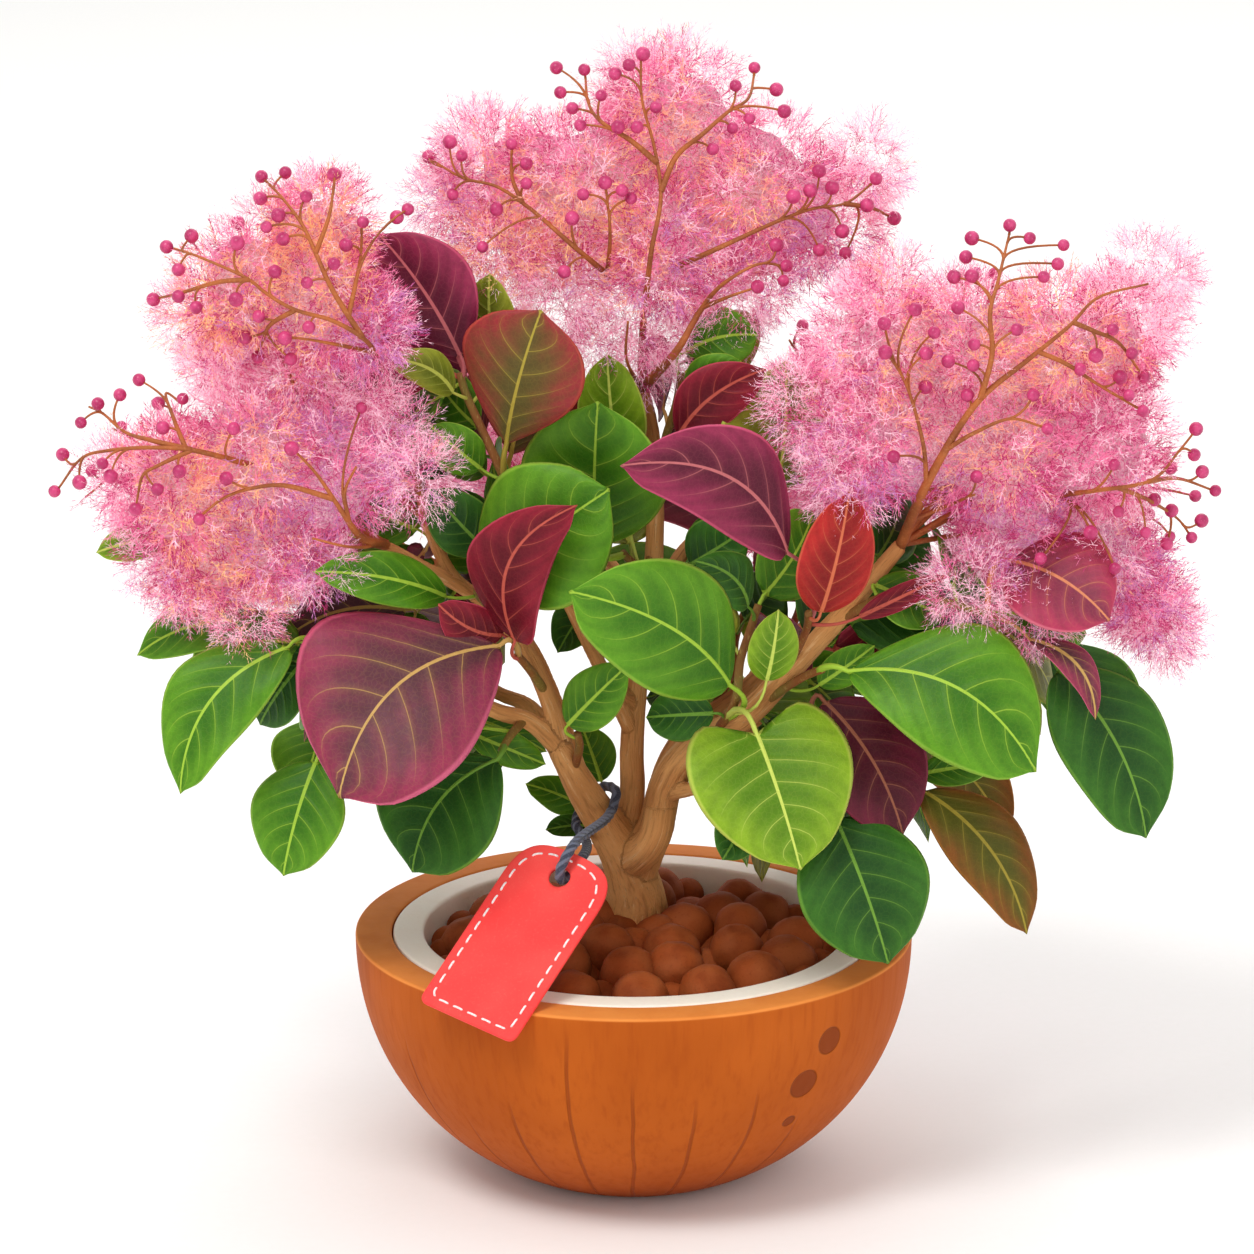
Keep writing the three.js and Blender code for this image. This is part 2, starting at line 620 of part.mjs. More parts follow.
function tagGeometry() {
  const { across, up, normal, hole } = tagFrame();
  const geometry = new THREE.ExtrudeGeometry(tagOutline(), {
    depth: TAG_THICKNESS,
    bevelEnabled: false,
    curveSegments: 6,
  });
  geometry.translate(0, 0, -TAG_THICKNESS);
  return geometry.applyMatrix4(new THREE.Matrix4().makeBasis(across, up, normal).setPosition(hole));
}

// The cord: one loop through the tag's hole and round the trunk.
function cordGeometry(trunk) {
  const { across, up, normal, hole } = tagFrame();
  const centre = trunk.curve.getPointAt(CORD_HEIGHT);
  const axis = trunk.curve.getTangentAt(CORD_HEIGHT);
  const reach = trunk.radiusAt(CORD_HEIGHT) + CORD_RADIUS + 3 * CLEAR;
  const front = hole.clone().sub(centre).projectOnPlane(axis).normalize();
  const side = new THREE.Vector3().crossVectors(axis, front);
  const round = (degrees, lift) => {
    const angle = THREE.MathUtils.degToRad(degrees);
    return centre
      .clone()
      .addScaledVector(front, reach * Math.cos(angle))
      .addScaledVector(side, reach * Math.sin(angle))
      .addScaledVector(axis, lift);
  };
  const card = (x, y, z) =>
    hole.clone().addScaledVector(across, x).addScaledVector(up, y).addScaledVector(normal, z);
  const points = [
    card(0, 0, -TAG_THICKNESS / 2),
    card(0, 1.4, 2),
    card(0, TAG_HOLE_INSET, 3.2),
    round(50, 1.5),
    round(105, 2),
    round(160, 1),
    round(215, -1),
    round(270, -2.5),
    round(318, -3.5),
    card(0, TAG_HOLE_INSET, -4.6),
    card(0, 1.4, -TAG_THICKNESS - 2.2),
  ];
  const curve = new THREE.CatmullRomCurve3(points, true, "centripetal");
  return new THREE.TubeGeometry(curve, 38, CORD_RADIUS, 8, true);
}

// Growing the plant

const limbs = new Map(); // name to { curve, radiusAt, solid }
const wood = []; // slightly thick copies of every limb, which the next pieces are cut clear of
const grown = []; // every foliage mass so far

const trimmed = (solid) => mainBody(wood.reduce((left, limb) => left.subtract(limb), solid));
const isTouching = (solid, others) => others.some((other) => !solid.intersect(other).isEmpty());

const LIMB_STEP = 13;

function growLimb(name, parent, at, points, radii, flare = 0) {
  const start = parent ? [parent.curve.getPointAt(at)] : [];
  const curve = curveThrough([...start, ...points]);
  const steps = Math.max(2, Math.round(curve.getLength() / LIMB_STEP));
  const sides = radii[0] > 4 ? 8 : 5;
  const radiusAt = (t) => taper(...radii)(t) + flare * Math.exp(-t / 0.16);
  const solid = trimmed(solidOf(limbGeometry(curve, radiusAt, sides, steps)));
  wood.push(solidOf(limbGeometry(curve, (t) => radiusAt(t) + CLEAR, sides, steps, CLEAR)));
  limbs.set(name, { curve, radiusAt, solid });
}

// Points as they are seen, in world places, for the near half or its twin behind.
function placed(rows, isTwin) {
  return rows.map(([across, up, back]) => (isTwin ? twinOf(seen(across, up, back)) : seen(across, up, back)));
}

function placedLeaf(leaf, isTwin) {
  const [base, tip] = placed([leaf.base, leaf.tip], isTwin);
  return { ...leaf, base, tip, side: isTwin ? -1 : 1 };
}

function stemOf(mass, parent, isTwin) {
  const share = isTwin ? (mass.twinAt ?? mass.at) : mass.at;
  return curveThrough([parent.curve.getPointAt(share), ...placed(mass.stem, isTwin)]);
}

// A smaller leaf that grows inwards from a stem by a seeded rule and fills the crown's middle.
function innerLeaf(root, turnStep, random) {
  const outward = root.clone().sub(GROWTH_CENTRE).setZ(0).normalize();
  const angle = 2.4 * turnStep + 1.5 * random();
  const way = new THREE.Vector3(0.7 * Math.cos(angle), -Math.sign(root.y) * 0.8, 0.7 * Math.sin(angle));
  way.addScaledVector(outward, 0.5).normalize();
  const base = root.clone().addScaledVector(way, 6);
  const length = INNER_LENGTH * (0.85 + 0.3 * random());
  const tip = base.clone().addScaledVector(way, length);
  tip.z -= 0.2 * length;
  return { base, tip, breadth: 0.7 * length, arch: 0.1 };
}

function leafMassSolid(mass, parent, isTwin, random) {
  const stem = stemOf(mass, parent, isTwin);
  const leaves = mass.leaves
    .map((row) => leafSolid(stem.getPointAt(row.at), placedLeaf(row, isTwin)))
    .filter((leaf) => !isTouching(leaf, [...wood, ...grown]));
  const room = mass.twin ? INNER_LEAVES : 0;
  for (let tries = 0, inner = 0; inner < room && tries < INNER_TRIES; tries++) {
    const root = stem.getPointAt(0.35 + 0.6 * random());
    const leaf = leafSolid(root, innerLeaf(root, tries, random));
    if (isTouching(leaf, [...wood, ...grown, ...leaves])) continue;
    leaves.push(leaf);
    inner++;
  }
  const stalk = trimmed(solidOf(limbGeometry(stem, taper(STEM_RADIUS, STEM_RADIUS * 0.8), 4, 2)));
  return { curve: stem, solid: mainBody(fused([stalk, ...leaves])) };
}

// The smoke's dense core: one ball drawn out from the middle of the puffs to their far sides, with
// tufts left standing by a seeded jitter.
function smokeSolid(puffs, share, random) {
  const middle = new THREE.Vector3();
  for (const { centre } of puffs) middle.addScaledVector(centre, 1 / puffs.length);
  const ball = new THREE.IcosahedronGeometry(1, puffs.length > 5 ? 4 : 2);
  ball.deleteAttribute("normal");
  ball.deleteAttribute("uv");
  const core = mergeVertices(ball, 1e-4);
  const position = core.getAttribute("position");
  for (let i = 0; i < position.count; i++) {
    const way = new THREE.Vector3().fromBufferAttribute(position, i).normalize();
    const reaches = puffs.map(({ centre, radius }) => {
      const offset = centre.clone().sub(middle);
      const depth = offset.dot(way);
      const spare = radius * radius + depth * depth - offset.lengthSq();
      return spare > 0 ? depth + Math.sqrt(spare) : 0;
    });
    const reach = Math.max(SMOKE_LEAST, ...reaches) * share + TUFT_JITTER * (2 * random() - 1);
    const place = middle.clone().addScaledVector(way, reach);
    position.setXYZ(i, place.x, place.y, place.z);
  }
  return solidOf(core);
}

// A sprig: side twigs stand off alternately along its outer part, each with a fruit at its end.
function sprigSolids(path, fruits, random) {
  const parts = [solidOf(limbGeometry(path, taper(0.75, 0.45), 3, 3))];
  const fruitAt = (place) => {
    const fruit = new THREE.OctahedronGeometry(FRUIT_RADIUS * 1.1, 0);
    parts.push(solidOf(fruit.translate(place.x, place.y, place.z)));
  };
  fruitAt(path.getPointAt(1));
  for (let k = 1; k < fruits; k++) {
    const t = 0.35 + (0.6 * k) / fruits;
    const root = path.getPointAt(t);
    const along = path.getTangentAt(t);
    const aside = new THREE.Vector3(0, k % 2 ? 1 : -1, 0).cross(along).normalize();
    const way = along.multiplyScalar(0.75).addScaledVector(aside, 0.8);
    const end = root.clone().addScaledVector(way, 8 + 3 * random());
    parts.push(solidOf(limbGeometry(curveThrough([root, end]), taper(0.5, 0.4), 3, 1)));
    fruitAt(end);
  }
  return parts;
}

function plumeSolid(plume, parent, isTwin, random) {
  const stem = stemOf(plume, parent, isTwin);
  const grow = isTwin ? TWIN_SIZE : 1;
  const parts = [trimmed(solidOf(limbGeometry(stem, taper(1.4, 0.9), 4, 3)))];
  const puffs = placed(plume.puffs, isTwin).map((centre, i) => ({ centre, radius: plume.puffs[i][3] * grow }));
  let [share, core] = [1, smokeSolid(puffs, 1, random)];
  while (isTouching(core, [...wood, ...grown])) {
    share *= SMOKE_SHRINK;
    core = smokeSolid(puffs, share, random);
  }
  parts.push(core);
  for (const sprig of plume.sprigs) {
    const path = placed(sprig.path, isTwin);
    const near = puffs.reduce((a, b) => (a.centre.distanceTo(path[0]) < b.centre.distanceTo(path[0]) ? a : b));
    const fruits = isTwin ? Math.ceil(sprig.fruit / 2) : sprig.fruit;
    parts.push(...sprigSolids(curveThrough([near.centre, ...path]), fruits, random));
  }
  for (const row of plume.leaves ?? []) parts.push(leafSolid(puffs[0].centre, placedLeaf(row, isTwin)));
  return { curve: stem, solid: mainBody(fused(parts)) };
}

// Materials, one for each kind of piece

const finish = (color, roughness) => new THREE.MeshStandardMaterial({ color, roughness, metalness: 0 });
const BARK = finish(0x8a5a34, 0.85);
const HUSK = finish(0xc4622a, 0.6);
const FLESH = finish(0xf3e9dd, 0.55);
const CLAY = finish(0x6e361d, 0.9);
const LEAF = finish(0x4f8f2c, 0.45);
const SMOKE = finish(0xe07bb0, 0.95);
const CARD = finish(0xfb4a45, 0.6);
const CORD = finish(0x5c6275, 0.7);

const plant = new THREE.Group();

function show(name, geometry, material) {
  const mesh = new THREE.Mesh(geometry, material);
  mesh.name = name;
  plant.add(mesh);
}

show("pot_husk", huskGeometry(), HUSK);
show("pot_flesh", fleshGeometry(), FLESH);

for (const { name, parent, at, twinAt, points, radii, flare } of LIMBS) {
  growLimb(name, limbs.get(parent), at, placed(points, false), radii, flare);
  if (twinAt === undefined) continue;
  const behind = limbs.get(`far_${parent}`) ?? limbs.get(parent);
  growLimb(`far_${name}`, behind, twinAt, placed(points, true), radii.map((r) => r * TWIN_SIZE));
}

show("soil", geometryOf(mainBody(soilSolid().subtract(wood[0]))), CLAY);
for (const [name, { solid }] of limbs) show(name, geometryOf(solid), BARK);

const random = seeded(7);
for (const mass of [...PLUMES, ...LEAF_MASSES])
  for (const isTwin of mass.twin ? [false, true] : [false]) {
    const name = (isTwin ? "far_" : "") + mass.name;
    const parent = limbs.get((isTwin ? "far_" : "") + mass.parent) ?? limbs.get(mass.parent);
    const growMass = mass.puffs ? plumeSolid : leafMassSolid;
    const { curve, solid } = growMass(mass, parent, isTwin, random);
    limbs.set(name, { curve });
    grown.push(solid);
    show(name, geometryOf(solid), mass.puffs ? SMOKE : LEAF);
  }

show("tag", tagGeometry(), CARD);
show("tag_cord", cordGeometry(limbs.get("trunk")), CORD);

export default plant;
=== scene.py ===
# %% [markdown]
# # A smoke bush in half a coconut
#
# The plant is made in the order in which it stands: the coconut, the clay pellets, the bark, the big
# leaves, the smoke with its twigs and fruit, and last the tag on its cord. Before each step a few lines
# say what the thing is on the real plant, how it could be made, and why it is made this way here.
#
# The solids of the plant come first. They give the places and say how far everything may reach.

# %% The frame
import json
import math

import bpy
import numpy as np
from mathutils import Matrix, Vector

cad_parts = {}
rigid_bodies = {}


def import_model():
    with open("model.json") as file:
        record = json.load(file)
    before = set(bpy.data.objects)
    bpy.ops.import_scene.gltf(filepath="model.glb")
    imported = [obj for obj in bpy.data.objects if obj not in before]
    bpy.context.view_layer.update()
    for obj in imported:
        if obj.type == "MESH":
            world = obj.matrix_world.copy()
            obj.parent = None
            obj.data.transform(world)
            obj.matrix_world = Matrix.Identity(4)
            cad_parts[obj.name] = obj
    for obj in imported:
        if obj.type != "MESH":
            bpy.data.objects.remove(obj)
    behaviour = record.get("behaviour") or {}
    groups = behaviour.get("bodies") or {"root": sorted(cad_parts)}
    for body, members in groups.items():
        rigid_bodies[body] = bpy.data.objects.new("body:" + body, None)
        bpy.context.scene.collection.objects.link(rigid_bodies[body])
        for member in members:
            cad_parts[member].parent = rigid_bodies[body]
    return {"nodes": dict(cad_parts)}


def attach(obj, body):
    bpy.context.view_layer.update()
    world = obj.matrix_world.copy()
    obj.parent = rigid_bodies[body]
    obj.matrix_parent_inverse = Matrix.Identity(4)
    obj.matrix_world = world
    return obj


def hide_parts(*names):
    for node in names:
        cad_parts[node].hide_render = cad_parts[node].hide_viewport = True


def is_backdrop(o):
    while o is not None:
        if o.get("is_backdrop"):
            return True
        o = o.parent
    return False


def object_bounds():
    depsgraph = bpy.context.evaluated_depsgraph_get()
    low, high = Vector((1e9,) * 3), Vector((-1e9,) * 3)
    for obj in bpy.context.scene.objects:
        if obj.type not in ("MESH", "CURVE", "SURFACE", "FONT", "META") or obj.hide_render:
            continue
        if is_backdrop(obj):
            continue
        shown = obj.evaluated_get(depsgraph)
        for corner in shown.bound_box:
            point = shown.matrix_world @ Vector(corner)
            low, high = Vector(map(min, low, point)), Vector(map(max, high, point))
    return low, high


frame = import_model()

cad_box = [list(corner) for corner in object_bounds()]
print("solids:", len(frame["nodes"]), "box:", cad_box)

# %% [markdown]
# ## Sizes and the viewer's place
#
# The coconut sets the scale: half of a large one is 138 mm across. Lengths are in millimetres until a
# surface becomes a mesh. A plant has no straight lines to measure along, so the places of its parts are
# given as the viewer sees them: so far across and up from the middle of the rim, and so far back.

# %% Driving sizes
MM = 0.001
POT_RADIUS = 69
POT_HEIGHT = 61
BOWL_DEPTH = 65.6
BOWL_FULLNESS = 2.1
HUSK_THICKNESS = 9
FLESH_THICKNESS = 8
SOIL_LEVEL = POT_HEIGHT - 6
PELLET_RADIUS = 7.4
CLEAR = 0.3
VIEW_TILT = math.radians(18.5)
VIEW_DISTANCE = 1400
RIM = np.array([0, 0, POT_HEIGHT])
GROWTH_CENTRE = np.array([0, 0, 110])


def seen(spots):
    """World points of spots (n, 3) given as across, up, back. What is nearer by d looks larger, so across
    and up shrink by 1 - d / far, with d = (sin tilt * up - back) / (cos tilt + sin tilt * up / far)."""
    across, up, back = np.asarray(spots, float)[:, :3].T
    sine, cosine = math.sin(VIEW_TILT), math.cos(VIEW_TILT)
    near = (sine * up - back) / (cosine + sine * up / VIEW_DISTANCE)
    shrink = 1 - near / VIEW_DISTANCE
    return np.stack([across * shrink, back, POT_HEIGHT + cosine * up * shrink + sine * near], -1)


TWIN_FALL = 210
TWIN_SIZE = 0.92


def placed(spots, is_far):
    """World points of spots, or of their twins behind the trunk: y changes its sign, and the height over
    the rim falls by the share |y| / TWIN_FALL."""
    points = seen(spots)
    if is_far:
        points[:, 2] = POT_HEIGHT + (points[:, 2] - POT_HEIGHT) * (1 - abs(points[:, 1]) / TWIN_FALL)
        points[:, 1] *= -1
    return points


def in_view(points):
    """Across and up of world points: the parts square to the line of sight over 1 - near / distance."""
    offset = points - RIM
    near = offset @ (0, -math.cos(VIEW_TILT), math.sin(VIEW_TILT))
    up = offset @ (0, math.sin(VIEW_TILT), math.cos(VIEW_TILT))
    return np.stack([offset[..., 0], up], -1) / (1 - near / VIEW_DISTANCE)[..., None]


print("middle of the rim:", in_view(seen([(0, 0, 0)]))[0])

# %% [markdown]
# ## Surfaces from arrays
#
# A leaf, a twig and a coconut are all grids of points bent into shape. A loop over single points would
# be slow for a plant this size, so every shape here is a formula worked out on whole arrays at once.
# A skin holds such a surface until it becomes a piece of the scene.


# %% A skin, and how skins are joined
class Skin:
    """Points (n, 3) in millimetres, triangles (m, 3), the material number of each triangle, values at the
    points by name, and, if the piece needs one, each triangle's place on its own sheet (m, 3, 2)."""

    def __init__(self, points, faces, kind=0, sheet=None, **values):
        self.points = np.asarray(points, float).reshape(-1, 3)
        self.faces = np.asarray(faces).reshape(-1, 3)
        self.kind = np.broadcast_to(kind, len(self.faces))
        self.sheet = sheet
        self.values = values


def joined(skins):
    """Several skins as one: the triangles of each count on from the points before it."""
    before = np.cumsum([0] + [len(skin.points) for skin in skins[:-1]])
    return Skin(
        np.concatenate([skin.points for skin in skins]),
        np.concatenate([skin.faces + start for skin, start in zip(skins, before)]),
        np.concatenate([skin.kind for skin in skins]),
        None if skins[0].sheet is None else np.concatenate([skin.sheet for skin in skins]),
        **{name: np.concatenate([skin.values[name] for skin in skins]) for name in skins[0].values},
    )


def closed(skin):
    """The same skin with points that coincide made one, empty triangles dropped, and all of it turned
    outwards: the signed volume, a sixth of the sum of a . (b x c), is made positive."""
    _, first, number = np.unique(np.round(skin.points, 4), axis=0, return_index=True, return_inverse=True)
    faces = number.reshape(-1)[skin.faces]
    whole = (faces[:, 0] != faces[:, 1]) & (faces[:, 1] != faces[:, 2]) & (faces[:, 2] != faces[:, 0])
    points = skin.points[first]
    corners = points[faces]
    volume = np.einsum("ij,ij->", corners[:, 0], np.cross(corners[:, 1], corners[:, 2]))
    order = slice(None) if volume > 0 else slice(None, None, -1)
    return Skin(
        points,
        faces[whole][:, order],
        skin.kind[whole],
        None if skin.sheet is None else skin.sheet[whole][:, order],
        **{name: value[first] for name, value in skin.values.items()},
    )


def grid(rows, columns):
    """Two triangles for each cell of rows by columns points. The last column joins the first."""
    row, column = np.meshgrid(np.arange(rows - 1), np.arange(columns), indexing="ij")
    a = (row * columns + column).ravel()
    b = (row * columns + (column + 1) % columns).ravel()
    return np.stack([a, b, b + columns, a, b + columns, a + columns], -1).reshape(-1, 3)


def grids(count, rows, columns):
    """The triangles of several grids whose points follow each other."""
    return grid(rows, columns) + np.arange(count)[:, None, None] * rows * columns


# %% A skin becomes a piece
def linked(name, data):
    """A new object that stands in the scene."""
    made = bpy.data.objects.new(name, data)
    bpy.context.scene.collection.objects.link(made)
    return made


def add(name, skin, materials, nodes=()):
    """Makes a mesh of a skin, in metres, rides it on the plant and lets it stand for the named solids."""
    mesh = bpy.data.meshes.new(name)
    mesh.vertices.add(len(skin.points))
    mesh.vertices.foreach_set("co", (skin.points * MM).astype(np.float32).ravel())
    mesh.loops.add(skin.faces.size)
    mesh.loops.foreach_set("vertex_index", skin.faces.astype(np.int32).ravel())
    mesh.polygons.add(len(skin.faces))
    mesh.polygons.foreach_set("loop_start", np.arange(0, skin.faces.size, 3, dtype=np.int32))
    for material in materials:
        mesh.materials.append(material)
    mesh.polygons.foreach_set("material_index", skin.kind.astype(np.int32))
    mesh.polygons.foreach_set("use_smooth", np.ones(len(skin.faces), bool))
    for key, value in skin.values.items():
        attribute = mesh.attributes.new(key, "FLOAT_VECTOR", "POINT")
        attribute.data.foreach_set("vector", value.astype(np.float32).ravel())
    if skin.sheet is not None:
        layer = mesh.uv_layers.new(name="OFBake")
        layer.uv.foreach_set("vector", skin.sheet.astype(np.float32).ravel())
    mesh.update(calc_edges=True)
    piece = linked(name, mesh)
    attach(piece, "root")
    if nodes:
        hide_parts(*nodes)
    print(f"{name}: {len(skin.faces)} triangles")


# %% Curves and round skins along them
def size_of(vectors):
    """The lengths of vectors."""
    return np.linalg.norm(vectors, axis=-1)


def unit(vectors):
    """The same directions with length 1."""
    return vectors / np.maximum(size_of(vectors)[..., None], 1e-9)


def evenly(line, count, is_ring=False):
    """count points at even distances along a line, or round it where it is a ring, and its length."""
    if is_ring:
        line = np.concatenate([line, line[:1]])
    length = np.concatenate([[0], np.cumsum(size_of(np.diff(line, axis=0)))])
    even = np.linspace(0, length[-1], count, endpoint=not is_ring)
    return np.stack([np.interp(even, length, part) for part in line.T], -1), length[-1]


def smooth_path(points, count):
    """count even points of a curve through the given ones. Each stretch is a cubic whose end slopes come
    from the neighbours, weighted by the square roots of the distances."""
    p = np.asarray(points, float)
    p = np.concatenate([[2 * p[0] - p[1]], p, [2 * p[-1] - p[-2]]])
    knots = np.maximum(size_of(np.diff(p, axis=0))[:, None], 1e-4) ** 0.5
    a, b, c = knots[:-2], knots[1:-1], knots[2:]
    before, start, end, after = p[:-3], p[1:-2], p[2:-1], p[3:]
    leave = b * ((start - before) / a - (end - before) / (a + b) + (end - start) / b)
    reach = b * ((end - start) / b - (after - start) / (b + c) + (after - end) / c)
    t = np.linspace(0, 1, 24)[:, None, None]
    cubic = 2 * (start - end) + leave + reach
    square = 3 * (end - start) - 2 * leave - reach
    curve = (start + t * leave + t**2 * square + t**3 * cubic).swapaxes(0, 1).reshape(-1, 3)
    return evenly(curve, count)[0]


def quadratic(start, bend, end, s):
    """Points of the curve (1 - s)^2 start + 2s(1 - s) bend + s^2 end."""
    return (1 - s) ** 2 * start + 2 * s * (1 - s) * bend + s**2 * end


def across_path(paths):
    """Two directions square to paths (k, n, 3) at each point: the axis that the path follows least, less its
    part along the path, and one square to both."""
    along = unit(np.gradient(paths, axis=1))
    least = np.eye(3)[np.argmin(abs(paths[:, -1] - paths[:, 0]), axis=-1)][:, None]
    first = unit(least - (least * along).sum(-1, keepdims=True) * along)
    return first, np.cross(along, first)


def tubes(paths, radii, sides):
    """Closed round skins along paths (k, n, 3): at each point a ring, radius times (cos a, sin a) in the
    two directions across, and each end drawn in to the path's last point."""
    paths = np.asarray(paths, float)
    first, second = across_path(paths)
    turn = np.linspace(0, 2 * np.pi, sides, endpoint=False)[:, None]
    rings = np.cos(turn) * first[:, :, None] + np.sin(turn) * second[:, :, None]
    rings = paths[:, :, None] + np.asarray(radii, float)[..., None, None] * rings
    ends = np.broadcast_to(paths[:, [0, -1], None], (len(paths), 2, sides, 3))
    points = np.concatenate([ends[:, :1], rings, ends[:, 1:]], 1)
    return Skin(points, grids(len(paths), points.shape[1], sides))


def round_ways(rows, columns):
    """Directions all round: (sin p cos a, sin p sin a, cos p) for each polar angle p and each turn a."""
    polar = np.linspace(0, np.pi, rows)[:, None]
    turn = np.linspace(0, 2 * np.pi, columns, endpoint=False)
    flat = np.sin(polar)
    return np.stack([flat * np.cos(turn), flat * np.sin(turn), np.cos(polar) + 0 * turn], -1)


def balls(centres, radii, rows, columns):
    """Round balls: each centre plus its radius times the directions all round."""
    sizes = np.asarray(radii, float)[:, None, None, None]
    points = np.asarray(centres)[:, None, None] + sizes * round_ways(rows, columns)
    return Skin(points, grids(len(points), rows, columns))


def ripple(points, wavelength, seed):
    """A smooth irregular field from -1 to 1: twice the mean of nine sine waves in seeded directions, with
    wavelengths about the given one, cut off at the ends."""
    random = np.random.default_rng(seed)
    ways = unit(random.normal(size=(9, 3))) * random.uniform(0.7, 1.6, (9, 1)) / wavelength
    waves = np.sin(2 * np.pi * (points @ ways.T) + random.uniform(0, 6.28, 9))
    return np.clip(waves.mean(-1) * 2, -1, 1)


# %% [markdown]
# ## Shader arithmetic
#
# A finish is a small sum: so much vein colour here, so much blade colour there. Node links hide such
# sums, so a wire wraps one output socket and adds a Math node for each sign in an expression. Colours
# go through Mix nodes, because a Math node would turn them grey.


# %% Wires and finishes
class Wire:
    """An output socket. Arithmetic on it adds Math nodes and gives the socket of the result."""

    def __init__(self, finish, socket):
        self.finish = finish
        self.socket = socket

    def __abs__(self):
        return self.finish.math("ABSOLUTE", self)

    def fraction(self):
        """The part after the point."""
        return self.finish.math("FRACT", self)

    def whole(self):
        """The whole number below."""
        return self.finish.math("FLOOR", self)

    def step(self, low, high):
        """0 below low, 1 above high and a smooth rise between. With low above high it falls instead."""
        ends = (low, high, 0.0, 1.0) if low < high else (high, low, 1.0, 0.0)
        return self.finish.node("ShaderNodeMapRange", dict(interpolation_type="SMOOTHSTEP"), self, *ends)


def sign_method(operation, is_reflected):
    """What a sign does with a wire and another value, or, reflected, with the value and the wire."""
    if is_reflected:
        return lambda wire, other: wire.finish.math(operation, other, wire)
    return lambda wire, other: wire.finish.math(operation, wire, other)


for sign, operation in dict(add="ADD", sub="SUBTRACT", mul="MULTIPLY", truediv="DIVIDE").items():
    setattr(Wire, f"__{sign}__", sign_method(operation, False))
    setattr(Wire, f"__r{sign}__", sign_method(operation, True))


def colour(red, green, blue):
    """A screen colour from 0 to 255 as linear light: c / 12.92 below 0.04045 and otherwise
    ((c + 0.055) / 1.055) ** 2.4."""
    screen = np.array([red, green, blue]) / 255
    linear = np.where(screen < 0.04045, screen / 12.92, ((screen + 0.055) / 1.055) ** 2.4)
    return (*linear.tolist(), 1.0)


class Finish:
    """A material with one Principled surface. Constants are set on its own sockets."""

    def __init__(self, name, **constants):
        self.material = bpy.data.materials.new(name)
        self.material.use_nodes = True
        self.tree = self.material.node_tree
        self.surface = self.tree.nodes["Principled BSDF"]
        self.surface.inputs["Specular IOR Level"].default_value = 0.25
        for key, value in constants.items():
            self.surface.inputs[key.replace("_", " ")].default_value = value

    def node(self, kind, settings, *values, out=0, numbered=None, **named):
        """Adds a node: its settings, then its sockets by order, number or name, as values or wires."""
        node = self.tree.nodes.new(kind)
        for key, value in settings.items():
            setattr(node, key, value)
        sockets = list(zip(node.inputs, values))
        sockets += [(node.inputs[number], value) for number, value in (numbered or {}).items()]
        sockets += [(node.inputs[key.replace("_", " ")], value) for key, value in named.items()]
        for socket, value in sockets:
            if isinstance(value, Wire):
                self.tree.links.new(value.socket, socket)
            else:
                socket.default_value = value
        return Wire(self, node.outputs[out])

    def math(self, operation, *values):
        """The result of one Math node."""
        return self.node("ShaderNodeMath", dict(operation=operation), *values)

    def place(self):
        """Object coordinates in millimetres."""
        where = self.node("ShaderNodeTexCoord", {}, out="Object")
        return self.node("ShaderNodeVectorMath", dict(operation="SCALE"), where, Scale=1 / MM)

    def value(self, name):
        """A piece's own value at its points, as a vector."""
        return self.node("ShaderNodeAttribute", dict(attribute_name=name), out="Vector")

    def parts(self, vector):
        """The three numbers of a vector."""
        node = self.node("ShaderNodeSeparateXYZ", {}, vector).socket.node
        return [Wire(self, output) for output in node.outputs]

    def noise(self, vector, scale, detail=3.0, roughness=0.55):
        """Cloudy noise from 0 to 1."""
        return self.node("ShaderNodeTexNoise", {}, vector, Scale=scale, Detail=detail, Roughness=roughness)

    def cells(self, vector, scale, feature="F1"):
        """Distances in a pattern of cells: to the nearest middle, or to the nearest edge."""
        settings = dict(feature=feature)
        return self.node("ShaderNodeTexVoronoi", settings, vector, Scale=scale, out="Distance")

    def stretch(self, vector, x, y, z):
        """The vector times a factor on each axis."""
        return self.node("ShaderNodeVectorMath", dict(operation="MULTIPLY"), vector, (x, y, z))

    def mix(self, share, first, second):
        """first where share is 0 and second where it is 1, each a wire or a screen colour."""
        first, second = (part if isinstance(part, Wire) else colour(*part) for part in (first, second))
        sockets = {0: share, 6: first, 7: second}
        return self.node("ShaderNodeMix", dict(data_type="RGBA"), out=2, numbered=sockets)

    def paint(self, key, wire):
        """Links a wire to a socket of the surface."""
        self.tree.links.new(wire.socket, self.surface.inputs[key.replace("_", " ")])

    def emboss(self, height, distance, strength=1.0):
        """Lets the surface rise and fall with height, distance in millimetres."""
        bump = self.node("ShaderNodeBump", {}, Strength=strength, Distance=distance * MM, Height=height)
        self.paint("Normal", bump)

    def done(self, body, roughness, *relief):
        """The material, with its colour, its roughness where that varies, and its relief."""
        self.paint("Base_Color", body)
        if roughness is not None:
            self.paint("Roughness", roughness)
        self.emboss(*relief)
        return self.material


# %% [markdown]
# ## The coconut
#
# The husk is a body of revolution: fuller than an ellipsoid at the foot, cut flat below so that it
# stands, and sawn flat at the rim. Turning one profile gives its shape exactly. Faint dark lines run
# down it like meridians and end at different heights, and three round germ pores lie low on the right.
# Both are colour more than shape, so the finish works them out from the angle and the height.


# %% Turned shapes
def bowl_radius(depth, wall):
    """Radius of the bowl at a depth below the rim: R (1 - (depth / D) ** f) ** (1 / f), with the wall taken
    off both R and D."""
    share = np.clip(depth / (BOWL_DEPTH - wall), 0, 1)
    return (POT_RADIUS - wall) * (1 - share**BOWL_FULLNESS) ** (1 / BOWL_FULLNESS)


